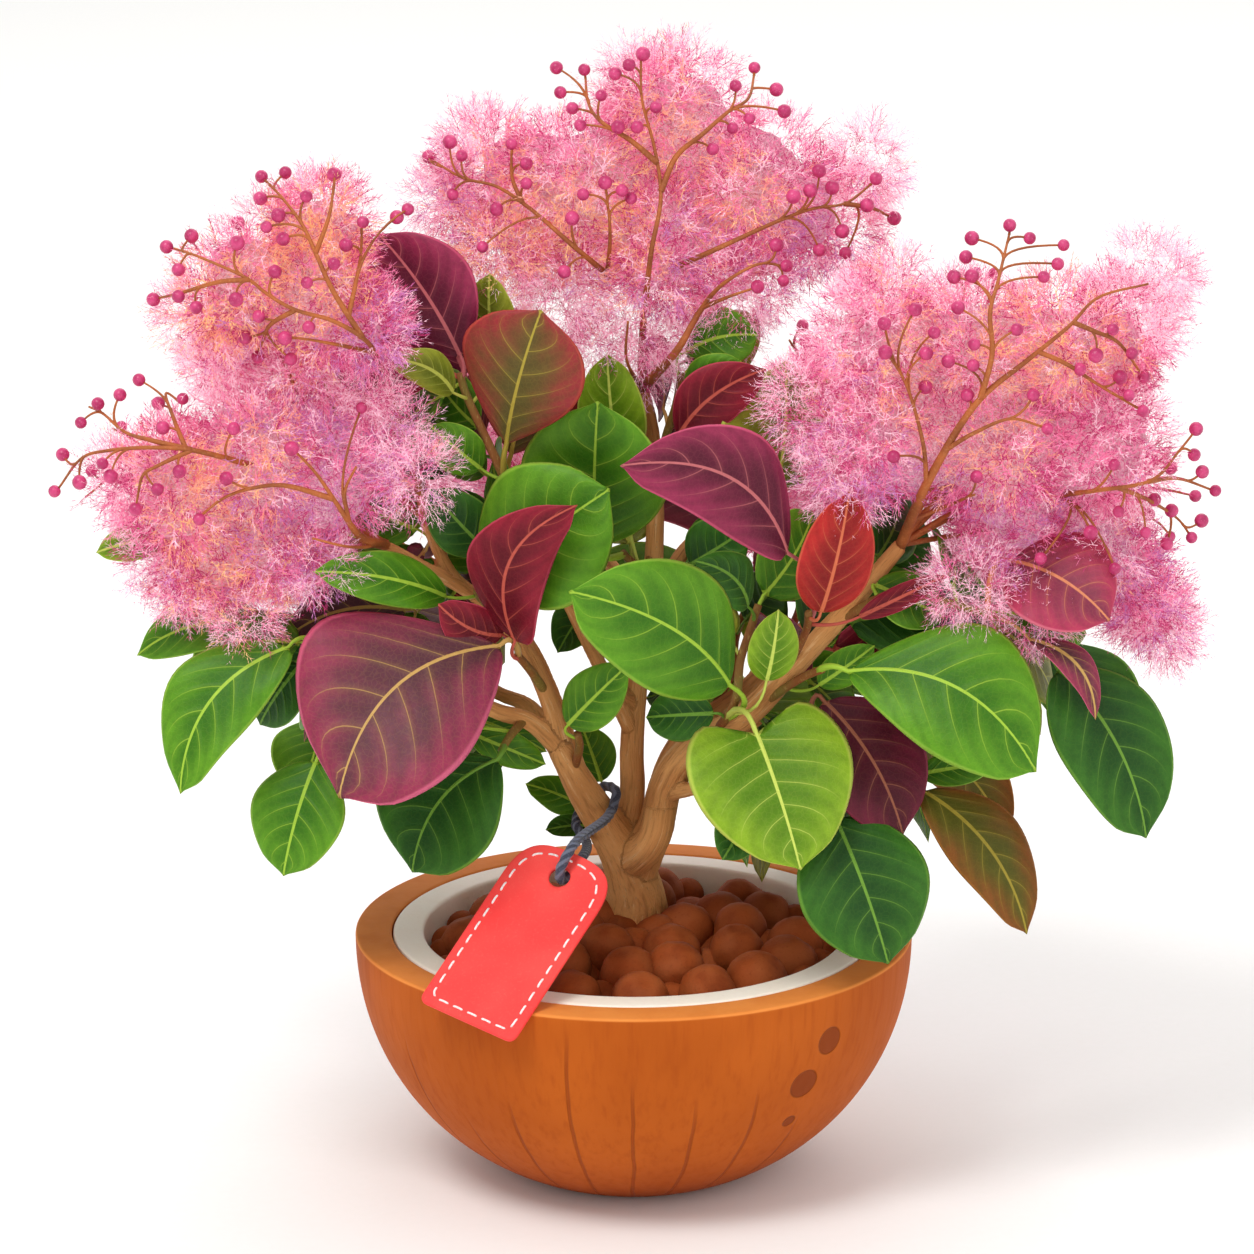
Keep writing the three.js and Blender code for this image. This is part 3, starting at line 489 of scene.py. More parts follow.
def bowl_line(wall, to_depth, count):
    """Points (radius, height) from the rim down to a depth, evenly turned: depth = D sin angle."""
    deepest = BOWL_DEPTH - wall
    depth = deepest * np.sin(np.linspace(0, math.asin(min(to_depth / deepest, 1)), count))
    return np.stack([bowl_radius(depth, wall), POT_HEIGHT - depth], -1)


def rounded(line, radius, count=5):
    """A profile with its sharp corners (over 40 degrees) replaced by quadratic arcs that start and end the
    radius away from the corner."""
    before, here, after = line[:-2], line[1:-1], line[2:]
    turn = (unit(here - before) * unit(after - here)).sum(-1)
    t = np.linspace(0, 1, count)[:, None]
    points = [line[:1]]
    for k, cosine in enumerate(turn):
        corner = here[k]
        if cosine > math.cos(math.radians(40)):
            points.append(corner[None])
            continue
        start = corner + radius * unit(before[k] - corner)
        end = corner + radius * unit(after[k] - corner)
        points.append(quadratic(start, corner, end, t))
    return np.concatenate([*points, line[-1:]])


def turned(line, columns):
    """The surface that a profile (radius, height) draws when it turns about Z, one column to an angle."""
    turn = np.linspace(0, 2 * np.pi, columns, endpoint=False)
    radius, height = line[:, :1], line[:, 1:]
    points = np.stack([radius * np.cos(turn), radius * np.sin(turn), height + 0 * turn], -1)
    return closed(Skin(points, grid(len(line), columns)))


# %% Husk and flesh
def on_bowl(across, up):
    """A spot of the bowl's outside from where it is seen: its back is moved until it lies on the bowl."""
    back = 0.0
    for _ in range(40):
        point = seen([(across, up, back)])[0]
        radius = bowl_radius(POT_HEIGHT - point[2], 0)
        back = -math.sqrt(max(radius**2 - point[0] ** 2, 0))
    return seen([(across, up, back)])[0]


PORES = [(on_bowl(48.6, -28.2), 3.6), (on_bowl(42.2, -38.9), 4.0), (on_bowl(38.4, -48.1), 1.8)]
MERIDIANS = 26


def husk_finish():
    """Orange-brown brushed husk with meridian lines, germ pores, a paler sawn rim and painted shade that
    darkens it towards the foot.
    """
    husk = Finish("brushed_husk")
    husk.surface.inputs["Specular IOR Level"].default_value = 0.12
    place = husk.place()
    x, y, z = husk.parts(place)
    angle = husk.math("ARCTAN2", y, x)
    bands = angle * (MERIDIANS / (2 * math.pi))
    wobble = husk.noise(place, 0.02) - 0.5
    lane = bands + wobble * 0.3
    seed = husk.node("ShaderNodeTexWhiteNoise", dict(noise_dimensions="1D"), numbered={1: lane.whole()})
    centred = abs(lane.fraction() - 0.5)
    starts = seed * 46.0 + 18.0
    fade = (starts - z).step(0.0, 14.0)
    radius = husk.math("SQRT", x * x + y * y)
    aside = centred * radius * (2 * math.pi / MERIDIANS)
    lines = aside.step(0.6, 0.15) * fade
    fibres = husk.noise(husk.stretch(place, 0.5, 0.5, 0.05), 1.0, 4.0)
    cloud = husk.noise(place, 0.03, 2.0)
    body = husk.mix(cloud.step(0.3, 0.7), (188, 92, 22), (174, 82, 16))
    body = husk.mix(fibres.step(0.45, 0.75) * 0.35, body, (152, 62, 14))
    # Darker towards the foot: painted shade.
    body = husk.mix(z.step(24.0, 0.0) * 0.6, body, (140, 54, 10))
    body = husk.mix(lines * 0.6, body, (134, 54, 14))
    pits = 0.0
    for centre, radius in PORES:
        settings = dict(operation="DISTANCE")
        away = husk.node("ShaderNodeVectorMath", settings, place, tuple(centre), out="Value")
        pits = away.step(radius + 0.25, radius - 0.35) + pits
    body = husk.mix(pits * 0.8, body, (122, 50, 12))
    rings = husk.noise(husk.stretch(place, 0.09, 0.09, 0.4), 1.0, 3.0)
    sawn = husk.mix(rings.step(0.35, 0.7) * 0.5, (232, 142, 66), (216, 120, 48))
    top = z.step(POT_HEIGHT - 0.9, POT_HEIGHT - 0.35)
    body = husk.mix(top, body, sawn)
    return husk.done(body, fibres * 0.2 + 0.55, fibres * 0.35 - lines * 0.8 - pits * 1.6, 0.45, 0.8)


def flesh_finish():
    """Cream-white flesh, a little oily, yellower in faint clouds and scored by the knife."""
    flesh = Finish("cream_flesh", Coat_Weight=0.12, Coat_Roughness=0.3)
    place = flesh.place()
    cloud = flesh.noise(place, 0.06, 3.0)
    grain = flesh.noise(place, 0.9, 4.0)
    body = flesh.mix(cloud.step(0.35, 0.75) * 0.6, (255, 246, 230), (252, 238, 218))
    body = flesh.mix(grain.step(0.5, 0.8) * 0.14, body, (230, 208, 182))
    return flesh.done(body, grain * 0.25 + 0.35, grain + cloud * 2, 0.25, 0.5)


husk_line = np.concatenate([
    [(0, 0)],
    bowl_line(0, POT_HEIGHT, 60)[::-1],
    bowl_line(HUSK_THICKNESS, BOWL_DEPTH - HUSK_THICKNESS, 24),
])
add("husk", turned(rounded(husk_line, 0.8), 256), [husk_finish()], ["pot_husk"])
outer, inner = HUSK_THICKNESS + CLEAR, HUSK_THICKNESS + FLESH_THICKNESS
flesh_line = np.concatenate([
    bowl_line(outer, BOWL_DEPTH - outer, 24)[::-1],
    bowl_line(inner, BOWL_DEPTH - inner, 40),
])
add("flesh", turned(rounded(flesh_line, 1.1), 192), [flesh_finish()], ["pot_flesh"])

# %% [markdown]
# ## Clay pellets
#
# Baked clay pellets cover the soil in rings, heaped a little towards the trunk. Real ones are round with
# a few dull facets. A ball whose radius is eased inwards along seeded planes has such facets. Smaller
# pellets lie lower, in the spaces between the rings.


# %% The heap
def clay_pellets():
    """Balls in rings, each radius lessened where a seeded plane cuts it:
    r = min(1, cut / cos of the angle to the plane's way)."""
    random = np.random.default_rng(5)
    rings = [(14, 6, 4, 1), (27, 10, 3.4, 1), (40.5, 15, 0.8, 1)]
    rings += [(20.5, 8, -3.4, 0.85), (34, 13, -4.4, 0.85), (47.2, 26, -0.6, 0.55), (6, 3, 3, 0.8)]
    centres, radii = [], []
    for distance, count, lift, size in rings:
        angle = 2 * np.pi * (np.arange(count) + 0.5 * random.uniform(size=count)) / count
        height = SOIL_LEVEL + lift * random.uniform(0.6, 1, count)
        centres.append(np.stack([distance * np.cos(angle), distance * np.sin(angle), height], -1))
        radii.append(PELLET_RADIUS * size * random.uniform(0.92, 1.08, count))
    centres, radii = np.concatenate(centres), np.concatenate(radii)
    heap = balls(centres, radii, 14, 20)
    offset = heap.points.reshape(len(centres), -1, 3) - centres[:, None]
    facets = unit(random.normal(size=(len(centres), 14, 3)))
    faced = np.einsum("kpc,kfc->kpf", unit(offset), facets)
    cut = random.uniform(0.9, 0.97, (len(centres), 1, 14))
    share = np.minimum(1, cut / np.maximum(faced, 1e-3)).min(-1)
    heap.points = (centres[:, None] + offset * share[..., None]).reshape(-1, 3)
    return closed(heap)


def clay_finish():
    """Dark red-brown baked clay: paler worn facets, dusty hollows and fine pits."""
    clay = Finish("baked_clay")
    clay.surface.inputs["Specular IOR Level"].default_value = 0.15
    place = clay.place()
    patches = clay.cells(place, 0.22, "SMOOTH_F1")
    cloud = clay.noise(place, 0.12, 3.0)
    pits = clay.noise(place, 1.6, 4.0)
    body = clay.mix(cloud.step(0.35, 0.7), (156, 74, 30), (128, 56, 20))
    body = clay.mix(patches.step(0.25, 0.7) * 0.5, body, (164, 88, 46))
    body = clay.mix(pits.step(0.55, 0.8) * 0.4, body, (78, 32, 12))
    return clay.done(body, pits * 0.2 + 0.62, pits * 0.5 + patches * 0.7, 0.4, 0.7)


def soil_finish():
    """The dark bed between the pellets."""
    soil = Finish("dark_bed")
    crumbs = soil.noise(soil.place(), 0.9, 5.0)
    body = soil.mix(crumbs.step(0.35, 0.7), (34, 14, 7), (60, 28, 15))
    return soil.done(body, crumbs * 0.15 + 0.8, crumbs, 1.0, 0.9)


add("pellets", clay_pellets(), [clay_finish()], ["soil"])
BED_DEPTH = 8.5
wall = HUSK_THICKNESS + FLESH_THICKNESS + CLEAR
bed_top = POT_HEIGHT - BED_DEPTH
bed_line = np.concatenate([
    bowl_line(wall, BOWL_DEPTH - wall, 20)[::-1],
    [(bowl_radius(BED_DEPTH, wall), bed_top), (0, bed_top)],
])
bed_line = bed_line[(bed_line[:, 1] <= bed_top) | (bed_line[:, 0] < 1)]
add("soil_bed", turned(bed_line, 96), [soil_finish()])

# %% [markdown]
# ## How the plant branches
#
# Each limb leaves its parent at a share of the parent's length, passes through a few spots and tapers.
# The far half of the plant repeats the near half behind the trunk. Leaf masses and plumes name the limb
# that carries them, their stem, and what grows on it. The tables hold these few sizes; every twig, blade
# and hair is then worked out from them.


# %% The rows of the tables
def limb(name, parent, at, twin_at, thick, thin, spots):
    """A limb: where it leaves its parent and where its twin does, if it has one, and its end radii."""
    return dict(name=name, parent=parent, at=at, twin_at=twin_at, thick=thick, thin=thin, spots=spots)


def leaf(base, tip, breadth, tint, at, belly=0.46, bend=0.0, arch=0.08, heart=0.0):
    """A large leaf: its blade's base and tip, breadth, tint, and where its stalk leaves the stem. belly is
    where it is broadest, bend how far the midrib swings aside, arch how far it bows and heart how far its
    lobes reach back, all as shares of its length."""
    form = dict(belly=belly, bend=bend, arch=arch, heart=heart)
    return dict(base=base, tip=tip, breadth=breadth, tint=tint, at=at, **form)


def mass(name, parent, at, twin_at, stem, *leaves):
    """A mass of leaves on one stem."""
    return dict(name=name, parent=parent, at=at, twin_at=twin_at, stem=stem, leaves=leaves)


def plume(name, parent, at, twin_at, stem, puffs, *leaves):
    """A plume of smoke on a stem: its puffs as spots with radii, and sometimes a leaf."""
    return dict(mass(name, parent, at, twin_at, stem, *leaves), puffs=puffs)


# %% Limbs
LIMBS = [
    limb("trunk", None, 0, None, 6.8, 3.1,
        [(0, 0.2, 13), (0.2, 9, 12), (-2.2, 17, 9), (-6.8, 25, 5), (-12.4, 33.6, 0), (-18.4, 44.2, -7)]),
    limb("bough_right", "trunk", 0.2, 0.3, 4.9, 1.9,
        [(5.4, 25, 3), (8.5, 36.5, -4), (14, 44, -10), (28, 52.5, -18), (40, 65, -23), (53, 79, -26),
         (66.5, 95, -28)]),
    limb("bough_right_low", "bough_right", 0.24, 0.24, 2, 1.3,
        [(17, 35, -15), (27, 39, -25), (38, 41, -30)]),
    limb("bough_centre", "trunk", 0.36, None, 3.4, 1.8,
        [(-0.4, 33, 10), (-0.5, 44, 9), (1, 64, 7), (5, 92, 4), (4.6, 122, 2), (2, 134, 2)]),
    limb("bough_centre_left", "bough_centre", 0.26, 0.32, 2.2, 1.4,
        [(-6, 60, 0), (-12, 72, -6), (-22, 92, -12), (-31, 107, -15)]),
    limb("bough_left", "trunk", 0.98, 0.86, 2.5, 1.5,
        [(-26, 51, -11), (-34, 53.5, -15), (-45, 59, -19), (-55, 64.5, -21)]),
    limb("bough_left_upper", "trunk", 0.9, 0.7, 2.6, 1.5,
        [(-21, 56, -9), (-26, 67, -10), (-34, 78, -12), (-45, 87, -15), (-52, 101, -18)]),
    limb("bough_left_outer", "bough_left_upper", 0.68, 0.68, 1.7, 1.3,
        [(-53, 90, -20), (-62, 95, -23)]),
    limb("bough_back_left", "bough_centre", 0.44, None, 2.1, 1.4,
        [(-2, 84, 18), (-12, 97, 36), (-22, 106, 52)]),
    limb("bough_back_right", "bough_centre", 0.52, None, 2.1, 1.4,
        [(13, 94, 17), (24, 102, 34), (34, 106, 50)]),
]

# %% Leaf masses
LEAF_MASSES = [
    mass("leaves_left_outer", "bough_left", 1, 1,
        [(-60, 66, -24), (-70, 68.5, -27), (-79, 70, -29)],
        leaf((-86, 69.5, -36), (-112.7, 32.8, -48), 23, "green", 0.95, bend=0.15),
        leaf((-83, 65, -25), (-93, 50, -22), 15, "dark", 0.8),
        leaf((-56.6, 78.7, -18), (-87, 71.3, -16), 15, "dusky", 0.35, belly=0.5, bend=0.1),
        leaf((-79, 41, -34), (-87, 12.5, -42), 24, "green", 0.55),
        leaf((-92, 75, -7), (-123.7, 67.3, -5), 14, "green", 0.97, bend=0.1),
    ),
    mass("leaves_left_under", "bough_left", 0.3, 0.3,
        [(-31, 47, -20), (-33, 43.5, -23)],
        leaf((-34, 41.5, -26), (-55, 13.4, -38), 33, "dark", 0.9, belly=0.55, bend=0.13),
        leaf((-41.5, 48.5, -11), (-21.8, 40.3, -8), 9, "green", 0.5),
    ),
    mass("leaves_left_front", "bough_left_upper", 0.28, 0.28,
        [(-26, 64, -18), (-29, 67.5, -25)],
        leaf((-33.5, 69.8, -34), (-73.3, 31.8, -60), 49, "plum", 0.95, belly=0.56, bend=0.16, arch=0.1),
        leaf((-29.6, 71, -32), (-13.9, 105, -46), 21, "crimson", 0.9, belly=0.38, bend=-0.2),
        leaf((-32.5, 72.5, -29), (-48.8, 80.3, -36), 12, "crimson", 0.9, bend=-0.1),
    ),
    mass("leaves_left_mid", "bough_left_upper", 0.62, 0.62,
        [(-39, 83, -19), (-37.5, 84, -22)],
        leaf((-46.5, 82, -24), (-80, 88.3, -42), 13, "green", 0.6, bend=0.04),
        leaf((-36.6, 86, -25), (-5.9, 109, -36), 36, "green", 0.95, belly=0.5),
        leaf((-36, 93, -18), (-51, 109, -20), 15, "dark", 0.8),
    ),
    mass("leaves_upper_left", "bough_centre_left", 1, 1,
        [(-32.5, 112, -17), (-38, 124, -18), (-42, 133, -18), (-43.5, 138, -18)],
        leaf((-31.8, 120.2, -22), (-23.1, 153.8, -32), 32, "russet", 0.12, belly=0.63),
        leaf((-43.2, 142, -18), (-64, 173, -14), 25, "purple", 0.95, belly=0.5, bend=0.06),
        leaf((-45, 133, -22), (-62, 141.5, -32), 9.5, "olive", 0.8, bend=0.12),
        leaf((-38, 114, -17), (-51, 125, -22), 12, "green", 0.15),
        leaf((-35, 144, -12), (-36, 163, -14), 13, "olive", 0.75),
    ),
    mass("leaves_centre", "bough_centre", 0.56, 0.66,
        [(2, 88, -1), (-3, 93, -5)],
        leaf((-9.5, 95, -13), (-9, 131, -24), 36, "green", 0.95, belly=0.52),
        leaf((-3.7, 115, -5), (-6.7, 143, -9), 17, "lime", 0.6),
        leaf((-9, 82, 6), (-19, 68, 4), 14, "dark", 0.8),
        leaf((14, 90, -9), (28, 99, -13), 16, "dark", 0.3),
    ),
    mass("leaves_centre_front", "bough_right", 0.45, 0.45,
        [(25.5, 57, -28), (26.5, 66, -31), (29, 74, -32), (31, 80, -32)],
        leaf((23.9, 60, -38), (-16.3, 83.4, -62), 31, "green", 0.2, belly=0.5, bend=0.08, arch=0.1),
        leaf((33, 61, -38), (36, 79, -42), 12.5, "lime", 0.3),
        leaf((28.5, 79.5, -37), (15, 91, -48), 12, "dark", 0.9, bend=0.12),
        leaf((30.5, 48, -40), (41.5, 14, -58), 40, "lime", 0.2, belly=0.36, heart=0.26),
        leaf((20, 53, -24), (3, 52, -16), 13, "dark", 0.2),
    ),
    mass("leaves_top_right", "bough_centre", 0.78, 0.86,
        [(8, 122, -5), (10.5, 130, -8), (12, 138, -8)],
        leaf((12.5, 143, -9), (31, 147.5, -13), 14, "green", 0.95, belly=0.6, bend=-0.08),
        leaf((13, 133, -12), (27, 141, -16), 12, "green", 0.75),
        leaf((11, 122, -14), (33, 139, -19), 15, "crimson", 0.35, bend=-0.1),
        leaf((35.6, 109.3, -8), (37.7, 141, -12), 34, "olive", 0.3, belly=0.5),
    ),
    mass("leaves_right_front", "bough_right", 0.64, 0.64,
        [(43, 74, -32), (43.5, 78, -38)],
        leaf((38.3, 93, -48), (-3.6, 114.7, -70), 24, "purple", 0.6, bend=0.17, arch=0.08),
        leaf((46.5, 78, -43), (53.7, 108.5, -50), 18.5, "red", 0.95, belly=0.45),
        leaf((56, 77, -36), (77.7, 87.5, -38), 6, "crimson", 0.8),
    ),
    mass("leaves_right", "bough_right", 0.54, 0.54,
        [(42, 62, -29), (47, 64, -34)],
        leaf((53.4, 63.5, -40), (100.1, 38.4, -56), 34, "green", 0.95, belly=0.55, bend=-0.15, arch=0.1),
        leaf((46, 60, -28), (60, 70, -31), 9, "green", 0.5),
    ),
    mass("leaves_right_outer", "bough_right", 0.8, 0.8,
        [(66, 83, -34), (80, 80, -37), (93, 76, -38)],
        leaf((94, 91, -34), (118.5, 76, -49), 28, "rose", 0.9, bend=-0.06),
        leaf((98.5, 71.5, -42), (114.8, 51.3, -50), 8, "plum", 0.95, bend=-0.18),
        leaf((105.7, 64, -34), (127.3, 21.9, -42), 29, "dark", 0.95, bend=-0.06),
        leaf((60, 85, -30), (77.5, 76.5, -30), 14, "green", 0.3),
    ),
    mass("leaves_right_low", "bough_right_low", 1, 1,
        [(44, 41, -33), (55, 38, -34), (64, 36, -33)],
        leaf((47.4, 56, -30), (66.9, 22.7, -40), 28, "burgundy", 0.2, bend=-0.05),
        leaf((50, 27, -42), (63.2, -9.3, -54), 33, "dark", 0.5, belly=0.46),
        leaf((72, 33.7, -32), (97.6, -1.9, -42), 19.5, "bronze", 0.95, bend=-0.09),
        leaf((71, 38, -25), (90, 41, -21), 9, "green", 0.9),
        leaf((29, 29, -34), (22, 16.5, -42), 12, "dark", 0.3),
    ),
    mass("leaves_fork", "trunk", 0.85, None,
        [(-13.5, 45, -14), (-14, 48, -18)],
        leaf((-16.5, 50, -20), (-1.5, 65, -26), 14, "green", 0.9),
    ),
    mass("leaves_low", "trunk", 0.28, None,
        [(-5, 24, 16), (-8, 30, 20)],
        leaf((-8, 36, 21), (-13, 50, 22), 12, "green", 0.9),
        leaf((-11, 29, 22), (-27, 35.5, 24), 11, "green", 0.9),
        leaf((-10, 25, 18), (-22, 24, 20), 8, "dark", 0.6),
    ),
]

# %% Plumes
PLUMES = [
    plume("plume_left_low", "bough_left_outer", 1, 1,
        [(-68, 99, -26), (-76, 104, -29)],
        [(-115, 109, -30, 19), (-95, 118, -29, 19), (-72, 114, -28, 18), (-107, 93, -25, 16),
         (-88, 96, -24, 16)],
        leaf((-114, 98, -22), (-134, 93, -20), 9.5, "lime", 0),
    ),
    plume("plume_left_high", "bough_left_upper", 1, 1,
        [(-54, 110, -20), (-58, 124, -23), (-62, 138, -26)],
        [(-78, 175, -33, 14), (-99, 160, -34, 16), (-80, 157, -34, 18), (-68, 149, -38, 12)],
    ),
    plume("plume_top", "bough_centre", 1, None,
        [(2, 142, 2), (3, 160, 2), (5, 180, 2)],
        [(-36, 190, 4, 15), (-34, 176, 2, 16), (-12, 186, 0, 20), (12, 202, 4, 20), (8, 170, -2, 20),
         (32, 186, 2, 20), (48, 178, 4, 16), (-20, 176, 24, 17), (12, 182, 26, 19), (36, 172, 22, 16)],
    ),
    plume("plume_right", "bough_right", 1, 1,
        [(72, 106, -30), (80, 119, -32), (88, 133, -34)],
        [(60, 146, -34, 19), (60, 122, -35, 19), (85, 145, -32, 19), (107, 146, -30, 18),
         (122, 150, -28, 14), (91, 121, -31, 21), (116, 121, -28, 20), (94, 100, -24, 15),
         (123, 88, -24, 11), (128, 80, -23, 12)],
    ),
    plume("plume_back_left", "bough_back_left", 1, None,
        [(-27, 111, 60), (-33, 120, 74)],
        [(-34, 130, 74, 20), (-54, 118, 84, 18), (-26, 114, 94, 20)],
    ),
    plume("plume_back_right", "bough_back_right", 1, None,
        [(39, 110, 58), (46, 116, 72)],
        [(44, 124, 72, 20), (64, 112, 82, 18), (36, 106, 92, 20)],
    ),
]


# %% Limbs as curves
FLARE = 2.8
LIMB_STEP = 0.8
STEM_RADII = (1.2, 0.95)
limbs = {}


def grow_limb(name, parent, at, points, thick, thin, flare=0.0):
    """A limb's curve with its radius: thick + (thin - thick) t + flare * exp(-t / 0.16)."""
    start = [] if parent is None else [point_on(parent, at)]
    rough = np.concatenate([np.reshape(start, (-1, 3)), points])
    length = size_of(np.diff(rough, axis=0)).sum()
    path = smooth_path(rough, max(8, int(length / LIMB_STEP)))
    t = np.linspace(0, 1, len(path))
    limbs[name] = (path, thick + (thin - thick) * t + flare * np.exp(-t / 0.16))


def point_on(name, share):
    """The point of a limb at a share of its length."""
    path = limbs[name][0]
    return path[round(share * (len(path) - 1))]


def ways(row):
    """The near one of a row and, if it has a twin, the far one: (name, parent, share, is_far)."""
    far_parent = "far_" + (row["parent"] or "")
    if far_parent not in limbs:
        far_parent = row["parent"]
    found = [(row["name"], row["parent"], row["at"], False)]
    if row["twin_at"] is not None:
        found.append(("far_" + row["name"], far_parent, row["twin_at"], True))
    return found


for row in LIMBS:
    for name, parent, at, is_far in ways(row):
        thick, thin = (row[end] * (TWIN_SIZE if is_far else 1) for end in ("thick", "thin"))
        flare = FLARE if name == "trunk" else 0.0
        grow_limb(name, parent, at, placed(row["spots"], is_far), thick, thin, flare)
wood_names = list(limbs)
for row in [*LEAF_MASSES, *PLUMES]:
    for name, parent, at, is_far in ways(row):
        grow_limb(name, parent, at, placed(row["stem"], is_far), *STEM_RADII)
print("limbs:", len(wood_names), "stems:", len(limbs) - len(wood_names))

# %% [markdown]
# ## Bark
#
# Where two limbs meet, bark flows from one into the other without an edge. Tubes stuck into each other
# would show a seam, so the limbs are first blended into one skin on a fine grid of cells, and the skin
# is then raised and lowered. The nearest point of a limb's middle line gives each point of the skin its
# distance along the limb and its angle round it, so ridges and streaks follow the growth.


# %% One skin over all limbs
def blended_skin(names, cell):
    """The tubes of the named limbs as one skin, found on a grid of cells and then evened out."""
    skins = []
    for name in names:
        path, radii = limbs[name]
        skins.append(tubes([path], [radii], 20))
    rough = closed(joined(skins))
    mesh = bpy.data.meshes.new("rough_limbs")
    mesh.from_pydata((rough.points * MM).tolist(), [], rough.faces.tolist())
    body = linked("rough_limbs", mesh)
    remesh = body.modifiers.new("one_skin", "REMESH")
    remesh.mode = "VOXEL"
    remesh.voxel_size = cell * MM
    smooth = body.modifiers.new("even", "SMOOTH")
    smooth.iterations = 4
    finished = body.evaluated_get(bpy.context.evaluated_depsgraph_get()).to_mesh()
    finished.calc_loop_triangles()
    points = np.empty(len(finished.vertices) * 3, np.float32)
    faces = np.empty(len(finished.loop_triangles) * 3, np.int32)
    finished.vertices.foreach_get("co", points)
    finished.loop_triangles.foreach_get("vertices", faces)
    bpy.data.objects.remove(body)
    return Skin(points.reshape(-1, 3) / MM, faces.reshape(-1, 3))


def along_limbs(points, names):
    """Each point's place by the nearest middle line: the length so far, the two parts of its direction away
    from the line, and the radius there."""
    lines = [limbs[name][0] for name in names]
    middle = np.concatenate(lines)
    radius = np.concatenate([limbs[name][1] for name in names])
    across = [[way[0] for way in across_path(line[None])] for line in lines]
    first, second = (np.concatenate(part) for part in zip(*across))
    length = np.concatenate([LIMB_STEP * np.arange(len(line)) + 37 * k for k, line in enumerate(lines)])
    nearest = np.empty(len(points), int)
    for start in range(0, len(points), 4000):
        block = points[start : start + 4000, None]
        nearest[start : start + 4000] = np.argmin(size_of(block - middle) - radius, axis=1)
    away = unit(points - middle[nearest])
    beside = [(away * d[nearest]).sum(-1) for d in (first, second)]
    return length[nearest], *beside, radius[nearest]


def bark_skin():
    """The blended skin raised by ridges that run along the limb, 0.032 * radius * (1 - |ripple| - half a
    finer |ripple|), and by a fluted foot, 0.3 * cos(5 a) * exp(-height over the soil / 8)."""
    skin = blended_skin(wood_names, 0.75)
    length, cosine, sine, radius = along_limbs(skin.points, wood_names)
    grain = np.stack([cosine * radius, sine * radius, length / 6], -1)
    ridges = 1 - abs(ripple(grain * (1, 1, 0.55), 3.4, 3)) - abs(ripple(grain, 1.9, 4)) * 0.5
    angle = np.arctan2(sine, cosine)
    foot = np.exp(-np.clip(skin.points[:, 2] - SOIL_LEVEL, 0, None) / 8)
    rise = 0.032 * radius * ridges + 0.3 * foot * np.cos(5 * angle)
    around = np.stack([cosine * radius, sine * radius, length], -1)
    normal = np.zeros_like(skin.points)
    corners = skin.points[skin.faces]
    flat = np.cross(corners[:, 1] - corners[:, 0], corners[:, 2] - corners[:, 0])
    for k in range(3):
        np.add.at(normal, skin.faces[:, k], flat)
    skin.points += unit(normal) * rise[:, None]
    skin.values["around"] = around
    return skin


def bark_finish():
    """Brown bark in long streaks: paler ridges, dark furrows and a few grey lenticels."""
    bark = Finish("streaked_bark")
    around = bark.value("around")
    streaks = bark.noise(bark.stretch(around, 0.75, 0.75, 0.06), 1.0, 5.0, 0.6)
    fine = bark.noise(bark.stretch(around, 2.6, 2.6, 0.22), 1.0, 4.0)
    cloud = bark.noise(bark.stretch(around, 0.1, 0.1, 0.05), 1.0, 2.0)
    body = bark.mix(cloud.step(0.3, 0.7), (230, 170, 104), (210, 144, 82))
    body = bark.mix(streaks.step(0.5, 0.68) * 0.6, body, (160, 100, 52))
    body = bark.mix(streaks.step(0.42, 0.3) * 0.8, body, (240, 196, 140))
    body = bark.mix(fine.step(0.55, 0.75) * 0.35, body, (104, 62, 30))
    spots = bark.cells(bark.stretch(around, 0.9, 0.9, 0.5), 1.0)
    body = bark.mix(spots.step(0.16, 0.08) * 0.5, body, (176, 140, 104))
    return bark.done(body, fine * 0.2 + 0.68, streaks * 1.2 + fine * 0.5, 0.7, 0.9)


bark = bark_finish()
add("bark", bark_skin(), [bark], wood_names)

# %% [markdown]
# ## Leaves
#
# A smoke bush leaf is round to oval on a thin stalk, with one strong midrib and arched side veins. Its
# blade is a grid bent in steps: an outline, a shallow fold along the midrib, a rolled margin, a slow
# wave. A cut-out picture on a flat card would show at once from the side. Each blade is a closed lens,
# a third of a millimetre thick, so that its margin catches the light.


# %% Tints
# The margin colour, the third of each tint, is also a painted highlight along the very edge.
TINTS = {
    "green": [(54, 108, 14), (92, 146, 28), (160, 202, 72), (166, 202, 64)],
    "dark": [(30, 72, 20), (56, 106, 28), (118, 166, 60), (112, 156, 54)],
    "lime": [(84, 126, 16), (132, 166, 34), (210, 224, 98), (206, 220, 100)],
    "olive": [(98, 108, 24), (148, 156, 46), (198, 204, 88), (190, 196, 84)],
    "plum": [(90, 50, 58), (144, 48, 76), (240, 116, 148), (204, 164, 92)],
    "rose": [(130, 50, 72), (176, 54, 86), (244, 130, 150), (220, 140, 96)],
    "dusky": [(66, 42, 44), (90, 42, 54), (152, 76, 88), (156, 140, 66)],
    "purple": [(88, 22, 44), (144, 42, 76), (226, 96, 130), (196, 108, 110)],
    "crimson": [(94, 12, 28), (138, 26, 46), (218, 84, 106), (196, 90, 74)],
    "red": [(132, 22, 24), (176, 38, 36), (238, 112, 84), (214, 112, 76)],
    "russet": [(90, 82, 36), (146, 44, 50), (206, 86, 70), (178, 160, 62)],
    "burgundy": [(72, 16, 30), (108, 28, 50), (156, 58, 78), (150, 90, 66)],
    "bronze": [(86, 84, 22), (126, 72, 26), (172, 114, 46), (168, 148, 54)],
}
MARKS = ("inner", "outer", "margin", "vein")

